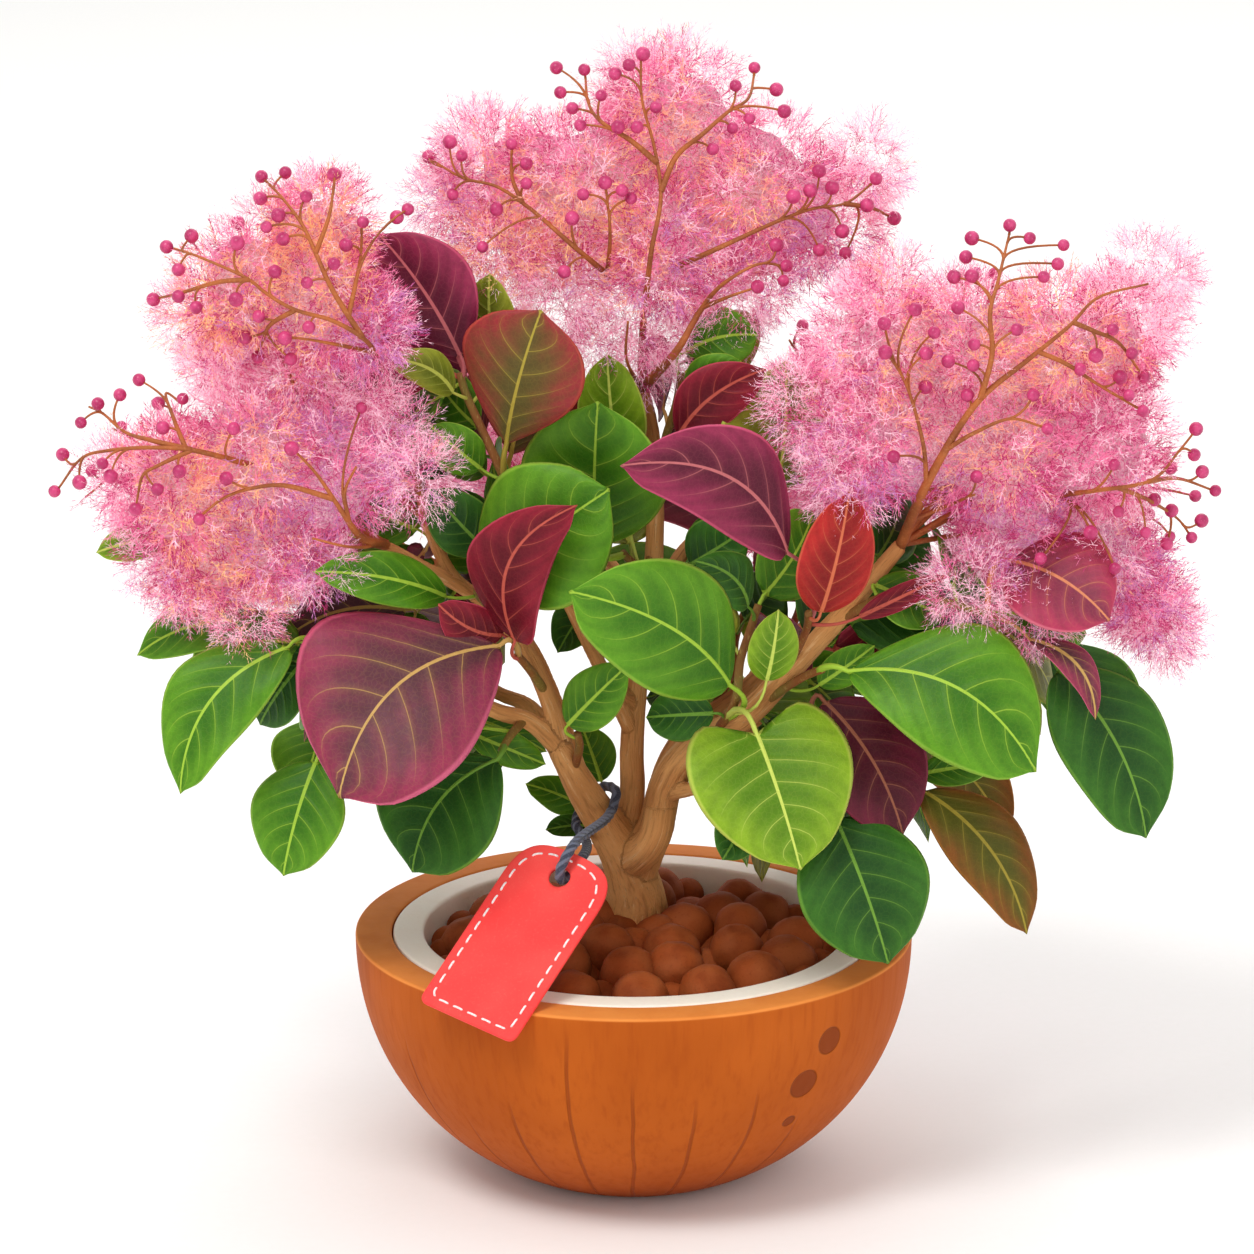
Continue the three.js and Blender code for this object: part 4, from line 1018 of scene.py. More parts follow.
# %% [markdown]
# The blade's formula needs three directions for each leaf: along the midrib, across the blade, and out
# of its face. A leaf turns its face up, outwards and to the light, so the face's direction is that hope
# less its part along the midrib.


# %% One formula for every blade
def stacked(leaves, key):
    """One value of all leaves as an array."""
    return np.array([row[key] for row in leaves], float)


def outline(t, belly):
    """Half the breadth at a share of the length: sin(pi t ** (ln 0.5 / ln belly)) ** p. Close to the tip p
    rises from 0.62 to 1.1, for a small point."""
    power = 0.62 + 0.48 * np.clip((t - 0.86) / 0.14, 0, 1) ** 2
    return np.maximum(np.sin(np.pi * t ** (math.log(0.5) / np.log(belly))), 0) ** power


def leaf_ways(leaves):
    """Unit vectors along, across and out of each leaf: out is up and outwards, less its part along the leaf,
    and across is out x along. A leaf's face says how much of outwards is front or back."""
    base, tip = stacked(leaves, "base"), stacked(leaves, "tip")
    middle = (base + tip) / 2
    face = stacked(leaves, "face")
    hope = np.stack([0 * face, 1.1 * face * np.sign(middle[:, 1]), 0.55 + 0 * face], -1)
    hope += (1.6 - 1.1 * face[:, None]) * unit((middle - GROWTH_CENTRE) * (1, 1, 0))
    along = unit(tip - base)
    out = unit(hope - (hope * along).sum(-1, keepdims=True) * along)
    return along, np.cross(out, along), out


def blade_at(leaves, t, v, lift=0.0):
    """Points (k, rows, columns, 3) of blades at shares t of the length and v from -1 to 1 across:
    base + along * L (t - heart (1 - t)^2 v^2) + across * (v * half - side * bend * L * 4t(1 - t))
    + out * (arch * L * 4t(1 - t) + half * (fold |v|^1.3 - roll v^4) + wave + lift)."""
    key = lambda name: stacked(leaves, name)[:, None, None]
    along, across, out = (way[:, None, None] for way in leaf_ways(leaves))
    length = size_of(stacked(leaves, "tip") - stacked(leaves, "base"))[:, None, None]
    shape = outline(t, key("belly"))
    half, hump = key("breadth") / 2 * shape, length * 4 * t * (1 - t)
    reach_back = key("heart") * (1 - t) ** 2 * v**2 * (1 - np.exp(-t / 0.03))
    wave = 0.022 * length * v**2 * shape * np.sin(9 * t + 2 * v + 6 * key("chance"))
    fold = half * (0.14 * abs(v) ** 1.3 - 0.13 * v**4)
    rise = key("arch") * hump + fold + wave + lift * np.minimum(1, 3 * shape)
    aside = v * half - key("side") * key("bend") * hump
    start = stacked(leaves, "base")[:, None, None]
    ahead = length * (t - reach_back)
    return start + along * ahead[..., None] + across * aside[..., None] + out * rise[..., None]


# %% Blades and stalks as skins
BLADE_ROWS = np.linspace(0, 1, 25)
BLADE_ROWS = (0.6 * BLADE_ROWS + 0.4 * BLADE_ROWS**2 * (3 - 2 * BLADE_ROWS))[:, None]
UPPER = np.array([-1, -0.94, -0.8, -0.6, -0.36, -0.12, 0, 0.12, 0.36, 0.6, 0.8, 0.94, 1])
LOWER = np.array([0.94, 0.7, 0.36, 0, -0.36, -0.7, -0.94])


def sheet_of(left, right, height):
    """The corners of grid()'s triangles on a flat sheet, from each cell's ends and each row's height."""
    left, right, low, high = np.broadcast_arrays(left, right, height[:-1, None], height[1:, None])
    corners = [(left, low), (right, low), (right, high), (left, low), (right, high), (left, high)]
    return np.stack([np.stack(corner, -1) for corner in corners], -2).reshape(1, -1, 3, 2)


def on_sheet(leaves, local):
    """Each leaf's corners moved into its own square of its piece's sheet, which has a square for each."""
    side = math.ceil(math.sqrt(leaves[0]["of"]))
    number = np.array([row["number"] for row in leaves])
    square = np.stack([number % side, number // side], -1)[:, None, None]
    return ((square + local) / side).reshape(-1, 3, 2)


def leaf_values(leaves, u, t, columns):
    """What the finish reads at each point: its place on the blade and the leaf's four colours."""
    shape = (len(leaves), len(t), columns, 3)
    breadth = stacked(leaves, "breadth")[:, None, None]
    values = {name: np.zeros(shape) for name in ("blade", "leaf", *MARKS)}
    values["blade"][..., 0] = np.where((t == 0) | (t == 1), 0.5, u)
    values["blade"][..., 1] = t
    values["blade"][..., 2] = breadth / 2 * outline(t, stacked(leaves, "belly")[:, None, None])
    values["leaf"][..., 0] = stacked(leaves, "chance")[:, None, None]
    values["leaf"][..., 1] = breadth / 2
    for k, name in enumerate(MARKS):
        tints = np.array([colour(*TINTS[row["tint"]][k])[:3] for row in leaves])
        values[name][:] = tints[:, None, None]
    return {name: value.reshape(-1, 3) for name, value in values.items()}


def blade_skin(leaves, each=1):
    """Closed blades: upper and lower face apart by a lens, thickness * sqrt(1 - v^4). Where each is 2, only
    every second row and column is kept."""
    rows, upper, lower = BLADE_ROWS[::each], UPPER[::each], LOWER[each - 1 :: each]
    v = np.concatenate([upper, lower])
    sides = np.concatenate([np.ones(len(upper)), -np.ones(len(lower))])
    lens = 0.17 * sides * np.sqrt(1 - v**4)
    points = blade_at(leaves, rows, v, lens)
    span = 0.02 + 0.45 * (upper + 1) / 2
    under = 0.95 - 0.45 * (np.array([1, *lower, -1]) + 1) / 2
    left = np.concatenate([span[:-1], under[:-1]])
    right = np.concatenate([span[1:], under[1:]])
    local = sheet_of(left, right, 0.02 + 0.96 * rows[:, 0])
    faces = grids(len(leaves), len(rows), len(v))
    values = leaf_values(leaves, (v + 1) / 2, rows, len(v))
    return closed(Skin(points, faces, 0, on_sheet(leaves, local), **values))


def stalk_skin(leaves):
    """Stalks that run on as midribs: a quadratic curve to the blade's base, then the blade's own middle
    line, thinning to the tip."""
    along, _, out = (way[:, None] for way in leaf_ways(leaves))
    root, base = stacked(leaves, "root")[:, None], stacked(leaves, "base")[:, None]
    s = np.linspace(0, 1, 8)[:-1][None, :, None]
    bend = base - 0.5 * size_of(base - root)[..., None] * along
    stalk = quadratic(root, bend, base, s)
    t = np.linspace(0, 0.96, 14)[:, None]
    rib = blade_at(leaves, t, np.zeros(1))[:, :, 0] - 0.14 * out
    paths = np.concatenate([stalk, rib], 1)
    size = np.clip(stacked(leaves, "breadth") / 28, 0.62, 1.15)[:, None]
    radii = size * np.concatenate([np.linspace(0.82, 0.56, 7), 0.1 + 0.44 * (1 - t[:, 0]) ** 1.2])
    skin = tubes(paths, radii, 6)
    share = np.concatenate([[0], 0 * s[0, :, 0], t[:, 0], [0.96]])[:, None]
    skin.values = leaf_values(leaves, 0.5, np.clip(share, 1e-3, 0.999), 6)
    strip = 0.955 + 0.035 * np.arange(7) / 6
    height = 0.02 + 0.96 * np.linspace(0, 1, len(share))
    skin.sheet = on_sheet(leaves, sheet_of(strip[:-1], strip[1:], height))
    return closed(skin)


def leaf_skin(leaves):
    """All leaves of a piece, each with its number on the sheet. Inner leaves have fewer points."""
    numbered = [dict(one, number=k, of=len(leaves)) for k, one in enumerate(leaves)]
    large = [one for one in numbered if one["face"] == 1]
    small = [one for one in numbered if one["face"] < 1]
    blades = [blade_skin(part, each) for part, each in ((large, 1), (small, 2)) if part]
    return joined([*blades, stalk_skin(numbered)])


# %% [markdown]
# A real leaf's colours follow its veins: pale ribs, and a margin that turns red or yellow first. The
# blade is darker midway between the side veins, which is painted shade, and the pale line along the very
# edge is the margin colour and also a painted highlight. One finish serves all leaves. Each leaf brings
# its own four colours as values at its points, and its pattern is drawn from the place on the blade, so
# veins curve with the blade.


# %% The finish of the leaves
def leaf_finish():
    """Blade colours from the midrib out, arched side veins, a fine net between them, painted shade midway
    between the side veins, and a pale margin line that is the leaf's own margin colour and also a painted
    highlight.
    """
    finish = Finish("veined_leaf", Coat_Weight=0.04, Coat_Roughness=0.35)
    finish.surface.inputs["Specular IOR Level"].default_value = 0.16
    u, t, half = finish.parts(finish.value("blade"))
    chance, widest, _ = finish.parts(finish.value("leaf"))
    inner, outer, margin, vein = (finish.value(name) for name in MARKS)
    place = finish.place()
    away = abs(u * 2 - 1)
    cloud = finish.noise(place, 0.07, 3.0)
    streaks = finish.noise(place, 0.5, 4.0, 0.6)
    reddening = away * 0.9 + t * 0.35 + (cloud - 0.5) * 1.1 - 0.12
    body = finish.mix(reddening.step(0.1, 1.0), inner, outer)
    # A darker colour, for mottle and for painted shade between the veins.
    mottle_and_shade = finish.mix(0.45, inner, (0, 0, 0))
    body = finish.mix(streaks.step(0.4, 0.8) * 0.25, body, mottle_and_shade)
    side = (u - 0.5).step(-0.001, 0.001)
    arch = t - away * 0.18 - away * away * 0.17
    phase = (arch + 0.36) * 6.0 + side * 0.45 + chance * 0.6
    nearness = abs((phase + 0.5).fraction() - 0.5)
    thin = 0.38 / (widest + 6.0)
    branch = (nearness - thin * 0.6).step(0.018, 0.0) * away.step(1.0, 0.2) * 0.5
    halo = nearness.step(0.22, 0.03) * away.step(0.95, 0.3)
    groove = nearness.step(0.5, 0.2)
    net = finish.cells(place, 0.8, "DISTANCE_TO_EDGE")
    threads = net.step(0.12, 0.02)
    from_rib = away * half
    rib = (from_rib + t * 0.3).step(0.62, 0.4)
    # Darker midway between the side veins: painted shade.
    body = finish.mix((1 - groove) * 0.22, body, mottle_and_shade)
    body = finish.mix(threads * 0.04, body, vein)
    body = finish.mix(halo * 0.07, body, vein)
    body = finish.mix(branch, body, vein)
    body = finish.mix(rib * 0.9, body, vein)
    # The pale line along the edge: the leaf's margin colour and a painted highlight.
    rim = away.step(0.93, 0.99)
    body = finish.mix(rim * 0.85, body, margin)
    relief = branch * 0.6 + halo * 0.6 + threads * 0.1 + streaks * 0.1
    return finish.done(body, streaks * 0.2 + 0.36 + rim * 0.1, relief, 0.28, 0.7)


# %% Which leaves grow where
OPEN = [(27, 61, 4), (-20, 63, 3), (-8, 52, 4), (4, 43, 4), (-27, 29, 7), (-8, 36, 4), (15, 28, 5),
        (-32, 56, 3), (39, 57, 3), (67, 19, 4), (-95, 45, 8), (-104, 33, 10), (-72, 12, 9), (102, 28, 14),
        (0, 7, 16), (-12, 24, 11)]
MASS_SIZE = 14
TRIES = 70
FAR_ROOM = 2.2
INNER_ROOM = 2.6


def grown(name, rows, is_far):
    """The leaves of a stem at their places, each with the point of the stem where its stalk starts."""
    found = []
    for row in rows:
        base, tip = placed([row["base"], row["tip"]], is_far)
        root = point_on(name, row["at"])
        chance = (0.37 * len(found) + 0.11 * len(name)) % 1
        side = -1 if is_far else 1
        found.append(dict(row, base=base, tip=tip, root=root, side=side, chance=chance, face=1))
    return found


def inner_leaf(host, turn, random):
    """A smaller leaf that grows inwards from a limb, turned on by 2.4 radians with each try."""
    root = point_on(host, 0.35 + 0.6 * random.uniform())
    angle = 2.4 * turn + 1.5 * random.uniform()
    way = np.array([0.7 * math.cos(angle), -0.8 * np.sign(root[1]), 0.7 * math.sin(angle)])
    way = unit(way + 0.6 * unit((root - GROWTH_CENTRE) * (1, 1, 0)))
    base, length = root + 6 * way, 27 * random.uniform(0.8, 1.2)
    tip = base + length * way - (0, 0, 0.25 * length)
    tint = ["green", "dark", "green", "plum", "dark", "green", "crimson", "olive"][random.integers(8)]
    row = leaf(base, tip, 0.7 * length, tint, 0, arch=0.1)
    return dict(row, root=root, side=1, chance=random.uniform(), face=0.25)


def blocks_view(spots):
    """Whether any point lies, in the view, in a round window that shows sky or the trunk's foot."""
    away = size_of(in_view(spots)[:, None] - np.array(OPEN)[:, :2])
    return bool((away < np.array(OPEN)[:, 2]).any())


def sampled(leaves):
    """A few points of each of some leaves."""
    return blade_at(leaves, np.linspace(0.02, 1, 9)[:, None], np.linspace(-1, 1, 7)).reshape(-1, 3)


def nearest_gap(leaves, others):
    """The least distance from sampled points of some leaves to other points."""
    return size_of(sampled(leaves)[:, None] - others).min()


def round_spots(spots, is_far):
    """Middles and radii of tufts that are given as spots with radii."""
    radii = np.array([spot[3] for spot in spots])
    return placed(spots, is_far), radii * (TWIN_SIZE if is_far else 1)


def leaf_masses():
    """All leaves, mass by mass. A far or an inner leaf that would touch what has grown is left out."""
    random = np.random.default_rng(21)
    puffs = [round_spots(row["puffs"], is_far) for row in PLUMES for *_, is_far in ways(row)]
    centres, radii = (np.concatenate(part) for part in zip(*puffs))
    taken = np.concatenate([limbs[name][0][::3] for name in wood_names])
    masses = {}
    for row in LEAF_MASSES:
        for name, _, _, is_far in ways(row):
            leaves = grown(name, row["leaves"], is_far)
            if is_far:
                leaves = [one for one in leaves if nearest_gap([one], taken) > FAR_ROOM]
            masses[name] = leaves
            taken = np.concatenate([taken, sampled(leaves)])
    parents = {name: parent for row in LEAF_MASSES for name, parent, _, _ in ways(row)}
    for name, leaves in masses.items():
        for turn in range(TRIES):
            one = inner_leaf(parents[name] if turn % 3 == 2 else name, turn, random)
            spots = sampled([one])
            in_smoke = size_of(spots[:, None] - centres) < radii - 3
            is_low = one["tip"][2] <= POT_HEIGHT + 6
            is_amiss = is_low or in_smoke.any() or blocks_view(spots)
            if nearest_gap([one], taken) > INNER_ROOM and not is_amiss:
                leaves.append(one)
                taken = np.concatenate([taken, spots])
            if len(leaves) >= MASS_SIZE:
                break
    return masses


veined = leaf_finish()
masses = leaf_masses()
for name, leaves in masses.items():
    add(name.replace("leaves", "blades"), leaf_skin(leaves), [veined], [name])
print("leaves:", sum(len(leaves) for leaves in masses.values()))


# %% Stems of the leaves
def stem_finish():
    """Young twigs: olive to red-brown, smooth, with short pale marks."""
    stem = Finish("young_twig")
    place = stem.place()
    cloud = stem.noise(place, 0.06, 2.0)
    marks = stem.noise(stem.stretch(place, 2.0, 2.0, 0.5), 1.0, 4.0)
    body = stem.mix(cloud.step(0.35, 0.65), (128, 112, 48), (140, 76, 40))
    body = stem.mix(marks.step(0.55, 0.7) * 0.5, body, (186, 158, 92))
    return stem.done(body, marks * 0.2 + 0.5, marks, 0.3, 0.6)


young = stem_finish()
leaf_stems = [tubes([limbs[name][0]], [limbs[name][1]], 10) for name in masses]
add("leaf_stems", closed(joined(leaf_stems)), [young])
plume_leaves = []
for row in PLUMES:
    for name, _, _, is_far in ways(row):
        plume_leaves += grown(name, row["leaves"], is_far)
add("blades_plume", leaf_skin(plume_leaves), [veined])

# %% [markdown]
# ## Smoke
#
# The smoke is made of thousands of sterile flower stalks, each set with fine pink hairs that fork.
# Particle hair would be the quick way, but it leaves nothing to export. So each stalk is a small spray
# of thin triangles, one to a hair. The colours are dealt out spray by spray: pink all through, peach and
# gold as painted light where light falls in, violet as painted shade in the hollows, more rose lower down
# as painted shade, and pale at the rim. A lumpy heart fills the middle.

# %% Wisps, and spots of painted light and painted shade as the viewer sees them
WISPS = {
    "plume_left_low": [(-54, 112, -38, 11), (-78, 90, -38, 9), (-60, 122, -34, 11), (-118, 92, -30, 10),
                       (-128, 112, -32, 11), (-97, 78, -32, 10), (-112, 84, -30, 10)],
    "plume_left_high": [(-64, 150, -38, 9), (-108, 152, -34, 12), (-92, 172, -34, 11), (-104, 141, -32, 9),
                        (-84, 137, -34, 9), (-66, 134, -33, 8)],
    "plume_top": [(2, 154, -6, 16), (-34, 166, -6, 12), (28, 162, -8, 14), (-18, 160, -8, 14),
                  (2, 208, 2, 14), (-48, 182, 4, 10), (58, 190, 4, 11), (14, 146, -2, 11),
                  (-8, 147, -2, 9), (2, 141, 2, 10), (-20, 152, 0, 10), (24, 152, -2, 10)],
    "plume_right": [(44, 130, -42, 13), (52, 112, -42, 12), (84, 86, -38, 12), (100, 80, -34, 12),
                    (128, 162, -28, 12), (64, 160, -34, 10), (118, 96, -28, 13), (132, 74, -24, 10)],
    "plume_back_left": [(-44, 134, 84, 12), (-70, 118, 48, 14)],
    "plume_back_right": [(54, 128, 84, 12), (62, 122, 46, 15)],
}
BETWEEN = [
    dict(name="between_right", parent="bough_right",
         puffs=[(68, 128, -4, 15), (92, 126, -2, 15), (78, 146, -6, 13), (106, 136, -4, 12),
                (102, 106, -2, 12)]),
    dict(name="between_left", parent="bough_left_outer",
         puffs=[(-90, 112, -4, 15), (-108, 104, -3, 13), (-72, 118, -2, 13)]),
    dict(name="between_left_high", parent="bough_left_upper",
         puffs=[(-88, 156, -8, 14), (-74, 152, -4, 14)]),
]
# Spots of painted light: peach and gold hairs gather round them.
LIT_SPOTS = {
    "plume_left_low": [(-92, 116), (-112, 104), (-100, 84)],
    "plume_left_high": [(-77, 168), (-100, 150), (-88, 156)],
    "plume_top": [(-22, 178), (-38, 172), (8, 204), (30, 178), (-6, 168)],
    "plume_right": [(96, 150), (114, 148), (64, 146), (84, 122)],
}
# Spots of painted shade: violet hairs gather round them.
SHADE_SPOTS = {
    "plume_left_low": [(-80, 134), (-62, 118), (-72, 86), (-88, 104)],
    "plume_left_high": [(-64, 150), (-86, 146)],
    "plume_top": [(2, 148), (-52, 182), (22, 158), (50, 166)],
    "plume_right": [(52, 124), (68, 106), (100, 92), (128, 78)],
}

# %% The form of a plume
HEART_GRID = (50, 84)


def front_of(row, spots):
    """Spots (across, up) set on the plume's near side: the least of back - sqrt(r^2 - d^2) over its puffs,
    where d is how far a puff's middle lies aside; beyond a puff, back + 0.8 (d - r)."""
    spots = np.asarray(spots, float)
    puffs = np.array([*row["puffs"], *WISPS[row["name"]]], float)
    aside = size_of(spots[:, None] - puffs[:, :2])
    radius, back = puffs[:, 3], puffs[:, 2]
    bulge = np.sqrt(np.maximum(radius**2 - aside**2, 0))
    depth = np.where(aside < radius, back - bulge, back + 0.8 * (aside - radius)).min(-1)
    return np.concatenate([spots, depth[:, None]], -1)


def lobes_of(centres, radii, random):
    """Each puff as eight balls: its own, 0.82 r, and seven of 0.42 r, each 0.52 r from its middle."""
    ways = unit(random.normal(size=(len(centres), 7, 3)))
    tufts = centres[:, None] + 0.52 * radii[:, None, None] * ways
    sizes = np.repeat(0.42 * radii, 7) * random.uniform(0.85, 1.12, 7 * len(radii))
    return np.concatenate([centres, tufts.reshape(-1, 3)]), np.concatenate([0.82 * radii, sizes])


def reach(way, middle, centres, radii):
    """How far the puffs reach from a middle in some directions: the greatest depth + sqrt(r^2 + depth^2 -
    offset^2), where depth is the offset's part along the direction."""
    offset = centres - middle
    depth = way @ offset.T
    spare = radii**2 + depth**2 - (offset**2).sum(-1)
    return np.where(spare > 0, depth + np.sqrt(np.maximum(spare, 0)), 0).max(-1).clip(7)


def rim_share(place, centres, radii):
    """How far out places lie: the distance from the puffs' mean middle over the puffs' reach that way."""
    middle = centres.mean(0)
    return size_of(place - middle) / reach(unit(place - middle), middle, centres, radii)


def heart_skin(row, is_far, centres, radii):
    """The lumpy middle: 0.8 of the puffs' reach from their mean middle, less 1.2 mm, with ripples. Its
    values say how much painted light and painted shade the smoke gets there."""
    middle = centres.mean(0)
    way = round_ways(*HEART_GRID)
    far = 0.8 * reach(way, middle, centres, radii)
    even = middle + way * far[..., None]
    lumps = ripple(even, 9, 2) * 1.8 + ripple(even, 4, 6) * 0.9
    points = (middle + way * (far - 1.2 + lumps)[..., None]).reshape(-1, 3)
    # How much painted light and painted shade each point of the heart gets.
    lit_share, shade_share = (painted_lighting(row, is_far, points, table) for table in (LIT_SPOTS, SHADE_SPOTS))
    return closed(Skin(points, grid(*HEART_GRID), light_and_shade=np.stack([lit_share, shade_share, 0 * lit_share], -1)))


# %% Sprays of hair
FORKS = 7
SPOT_REACH = 11


def spray_places(centres, radii, count, random):
    """Where sprays start: on the lobes' skins, in proportion to r^2, but not deep inside another lobe."""
    balls_at, sizes = lobes_of(centres, radii, random)
    share = sizes**2 / (sizes**2).sum()
    lobe = random.choice(len(sizes), int(count * 3), p=share)
    way = unit(random.normal(size=(len(lobe), 3)))
    deep = random.uniform(0.74, 1.0, (len(lobe), 1))
    place = balls_at[lobe] + sizes[lobe, None] * deep * way
    inside = (sizes - size_of(place[:, None] - balls_at)).max(-1)
    keep = inside < random.uniform(1, 4.5, len(lobe))
    return place[keep][:count], way[keep][:count]


def spray_skin(place, way, fine, random):
    """Sprays: an axis of two thin triangles, and seven hairs that leave it at angles from 66 degrees at its
    foot to 18 at its tip. Each hair forks at 0.55 of its length into two, 30 degrees apart from it. A hair
    is a triangle: foot less and plus half its width aside, and tip. Where fine is 1 it is 0.6 as wide."""
    count = len(place)
    length = random.uniform(3.4, 5.6, (count, 1))
    axis = unit(way + 0.4 * random.normal(size=(count, 3)) + (0, 0, 0.12))
    first = unit(np.cross(axis, random.normal(size=(count, 3))))
    second = np.cross(axis, first)
    share = np.linspace(0.08, 1, FORKS)[:, None]
    turn = 2.4 * np.arange(FORKS)[:, None] + random.uniform(0, 6.28, (count, 1, 1))
    tilt = np.radians(70 - 52 * share) + random.normal(scale=0.18, size=(count, FORKS, 1))
    around = np.cos(turn) * first[:, None] + np.sin(turn) * second[:, None]
    hair_way = np.cos(tilt) * axis[:, None] + np.sin(tilt) * around
    sway = 0.14 * length * first
    foot = place[:, None] + axis[:, None] * (share * length[:, None]) + sway[:, None] * share**2
    size = length[:, None] * (0.66 - 0.26 * share) * random.uniform(0.75, 1.25, (count, FORKS, 1))
    joint = foot + 0.55 * size * hair_way
    spread = np.cross(hair_way, unit(random.normal(size=hair_way.shape)))
    left = joint + size * (0.55 * hair_way + 0.3 * spread)
    right = joint + size * (0.5 * hair_way - 0.32 * spread)
    mid = place[:, None] + axis[:, None] * 0.5 * length[:, None] + 0.25 * sway[:, None]
    end = place[:, None] + axis[:, None] * length[:, None] + sway[:, None]
    feet = np.concatenate([place[:, None], mid, foot, joint, joint], 1)
    tips = np.concatenate([mid + 0.3 * (end - mid), end, foot + 0.75 * size * hair_way, left, right], 1)
    line = tips - feet
    aside = unit(np.cross(line, way[:, None] + 0.5 * random.normal(size=line.shape)))
    width = np.concatenate([np.full(2, 0.15), np.full(FORKS, 0.13), np.full(2 * FORKS, 0.105)])[:, None]
    width = width * (random.uniform(0.8, 1.2, count) * (1 - 0.4 * fine))[:, None, None]
    points = np.stack([feet - width * aside, feet + width * aside, tips], 2)
    return Skin(points, np.arange(points.size // 3))


def painted_lighting(row, is_far, place, table):
    """How near places lie to some spots on the plume's near side: the sum of exp(-d^2 / (2 reach^2)), with
    a ripple on it."""
    spots = table.get(row["name"])
    field = 0.34 * ripple(place, 30, 8 if table is LIT_SPOTS else 9)
    if spots:
        spots = placed(front_of(row, spots), is_far)
        away = ((place[:, None] - spots) ** 2).sum(-1)
        field = field + np.exp(-away / (2 * SPOT_REACH**2)).sum(-1)
    return field


def spray_kinds(row, is_far, place, rim, centres, radii, random):
    """The colour number of each spray, drawn with weights: 0 pink, 1 rose, 2 peach, 3 violet, 4 pale,
    5 gold. Peach and gold near the lit spots are painted light. Violet near the shaded spots and low down
    is painted shade, and so is the share of rose that grows lower down."""
    middle = centres.mean(0)
    rise = (place[:, 2] - middle[2]) / (np.ptp(centres[:, 2]) / 2 + radii.mean())
    lit_share, shade_share = painted_lighting(row, is_far, place, LIT_SPOTS), painted_lighting(row, is_far, place, SHADE_SPOTS)
    tangle = ripple(place, 6, 10)
    weights = np.stack([
        1 + 0 * rise,
        # Deep rose, more of it lower down: painted shade.
        0.8 - 0.45 * rise - 1.1 * tangle,
        # Peach and gold near the lit spots: painted light. Violet near the shaded spots and lower down:
        # painted shade.
        1.3 * np.clip(lit_share - 0.12, 0, 1),
        1.2 * np.clip(shade_share - 0.15 - 0.2 * rise, 0, 1),
        2.4 * np.clip((rim - 0.74) / 0.26, 0, 1.3) + 0.4 * tangle.clip(0),
        0.9 * np.clip(lit_share - 0.4, 0, 1),
    ], -1).clip(0)
    total = np.cumsum(weights, -1)
    return (random.uniform(size=(len(place), 1)) * total[:, -1:] > total).sum(-1)


def haze(row, is_far, tufts, thickness, puffs, random):
    """The sprays of some tufts, thickness times r^2 of them to a tuft, with their colours."""
    middles, sizes = tufts
    centres, radii = puffs
    place, way = spray_places(middles, sizes - 0.5, int(thickness * (sizes**2).sum()), random)
    rim = rim_share(place, centres, radii)
    skin = spray_skin(place, way, np.clip((rim - 0.8) / 0.2, 0, 1), random)
    skin.kind = np.repeat(spray_kinds(row, is_far, place, rim, centres, radii, random), 3 * FORKS + 2)
    return skin


# %% Colours of the smoke
def hair_material(name, *screen):
    """A plain dull colour, with a faint glow for the light that comes through real hairs."""
    hair = Finish(name, Roughness=0.9, Emission_Strength=0.16)
    hair.surface.inputs["Specular IOR Level"].default_value = 0.1
    hair.surface.inputs["Base Color"].default_value = colour(*screen)
    hair.surface.inputs["Emission Color"].default_value = colour(*screen)
    return hair.material


def heart_finish():
    """A nest of hairs: pink, with painted light and painted shade by its values, two nets of pale strands
    over patches of deeper rose that are painted shade, and a glow of its own colours that is painted light.
    """
    heart = Finish("smoke_heart", Roughness=0.95, Emission_Strength=0.4)
    lit_share, shade_share, _ = heart.parts(heart.value("light_and_shade"))
    place = heart.place()
    swirl = heart.node("ShaderNodeTexNoise", {}, place, Scale=0.3, Detail=3.0, out="Color")
    bent = heart.node("ShaderNodeVectorMath", dict(operation="MULTIPLY_ADD"), swirl, (9.0, 9.0, 9.0), place)
    strands = heart.cells(bent, 0.6, "DISTANCE_TO_EDGE")
    finer = heart.cells(bent, 1.15, "DISTANCE_TO_EDGE")
    depth = heart.noise(place, 0.4, 5.0, 0.7)
    # Violet towards the shaded spots and peach towards the lit ones: painted shade and painted light.
    body = heart.mix(shade_share.step(0.1, 0.9), (236, 124, 166), (214, 120, 178))
    body = heart.mix(lit_share.step(0.1, 1.0) * 0.8, body, (246, 158, 136))
    # Patches of deeper rose: painted shade in the depth of the nest.
    body = heart.mix(depth.step(0.42, 0.6) * 0.7, body, (188, 64, 112))
    body = heart.mix(finer.step(0.16, 0.03) * 0.55, body, (244, 166, 186))
    body = heart.mix(strands.step(0.14, 0.02) * 0.7, body, (250, 196, 206))
    # The heart glows in its own colours, with the Emission_Strength set above: painted light.
    heart.paint("Emission_Color", body)
    return heart.done(body, None, depth + finer * 1.5, 1.2, 1.0)


# Peach and gold hairs are painted light, violet hairs painted shade, and rose hairs partly painted shade.
hairs = [
    hair_material("hair_pink", 236, 134, 174),
    hair_material("hair_rose", 194, 66, 120),
    hair_material("hair_peach_lit", 246, 174, 148),
    hair_material("hair_violet_shade", 206, 132, 190),
    hair_material("hair_pale", 252, 206, 222),
    hair_material("hair_gold_lit", 252, 206, 150),
]
heart = heart_finish()

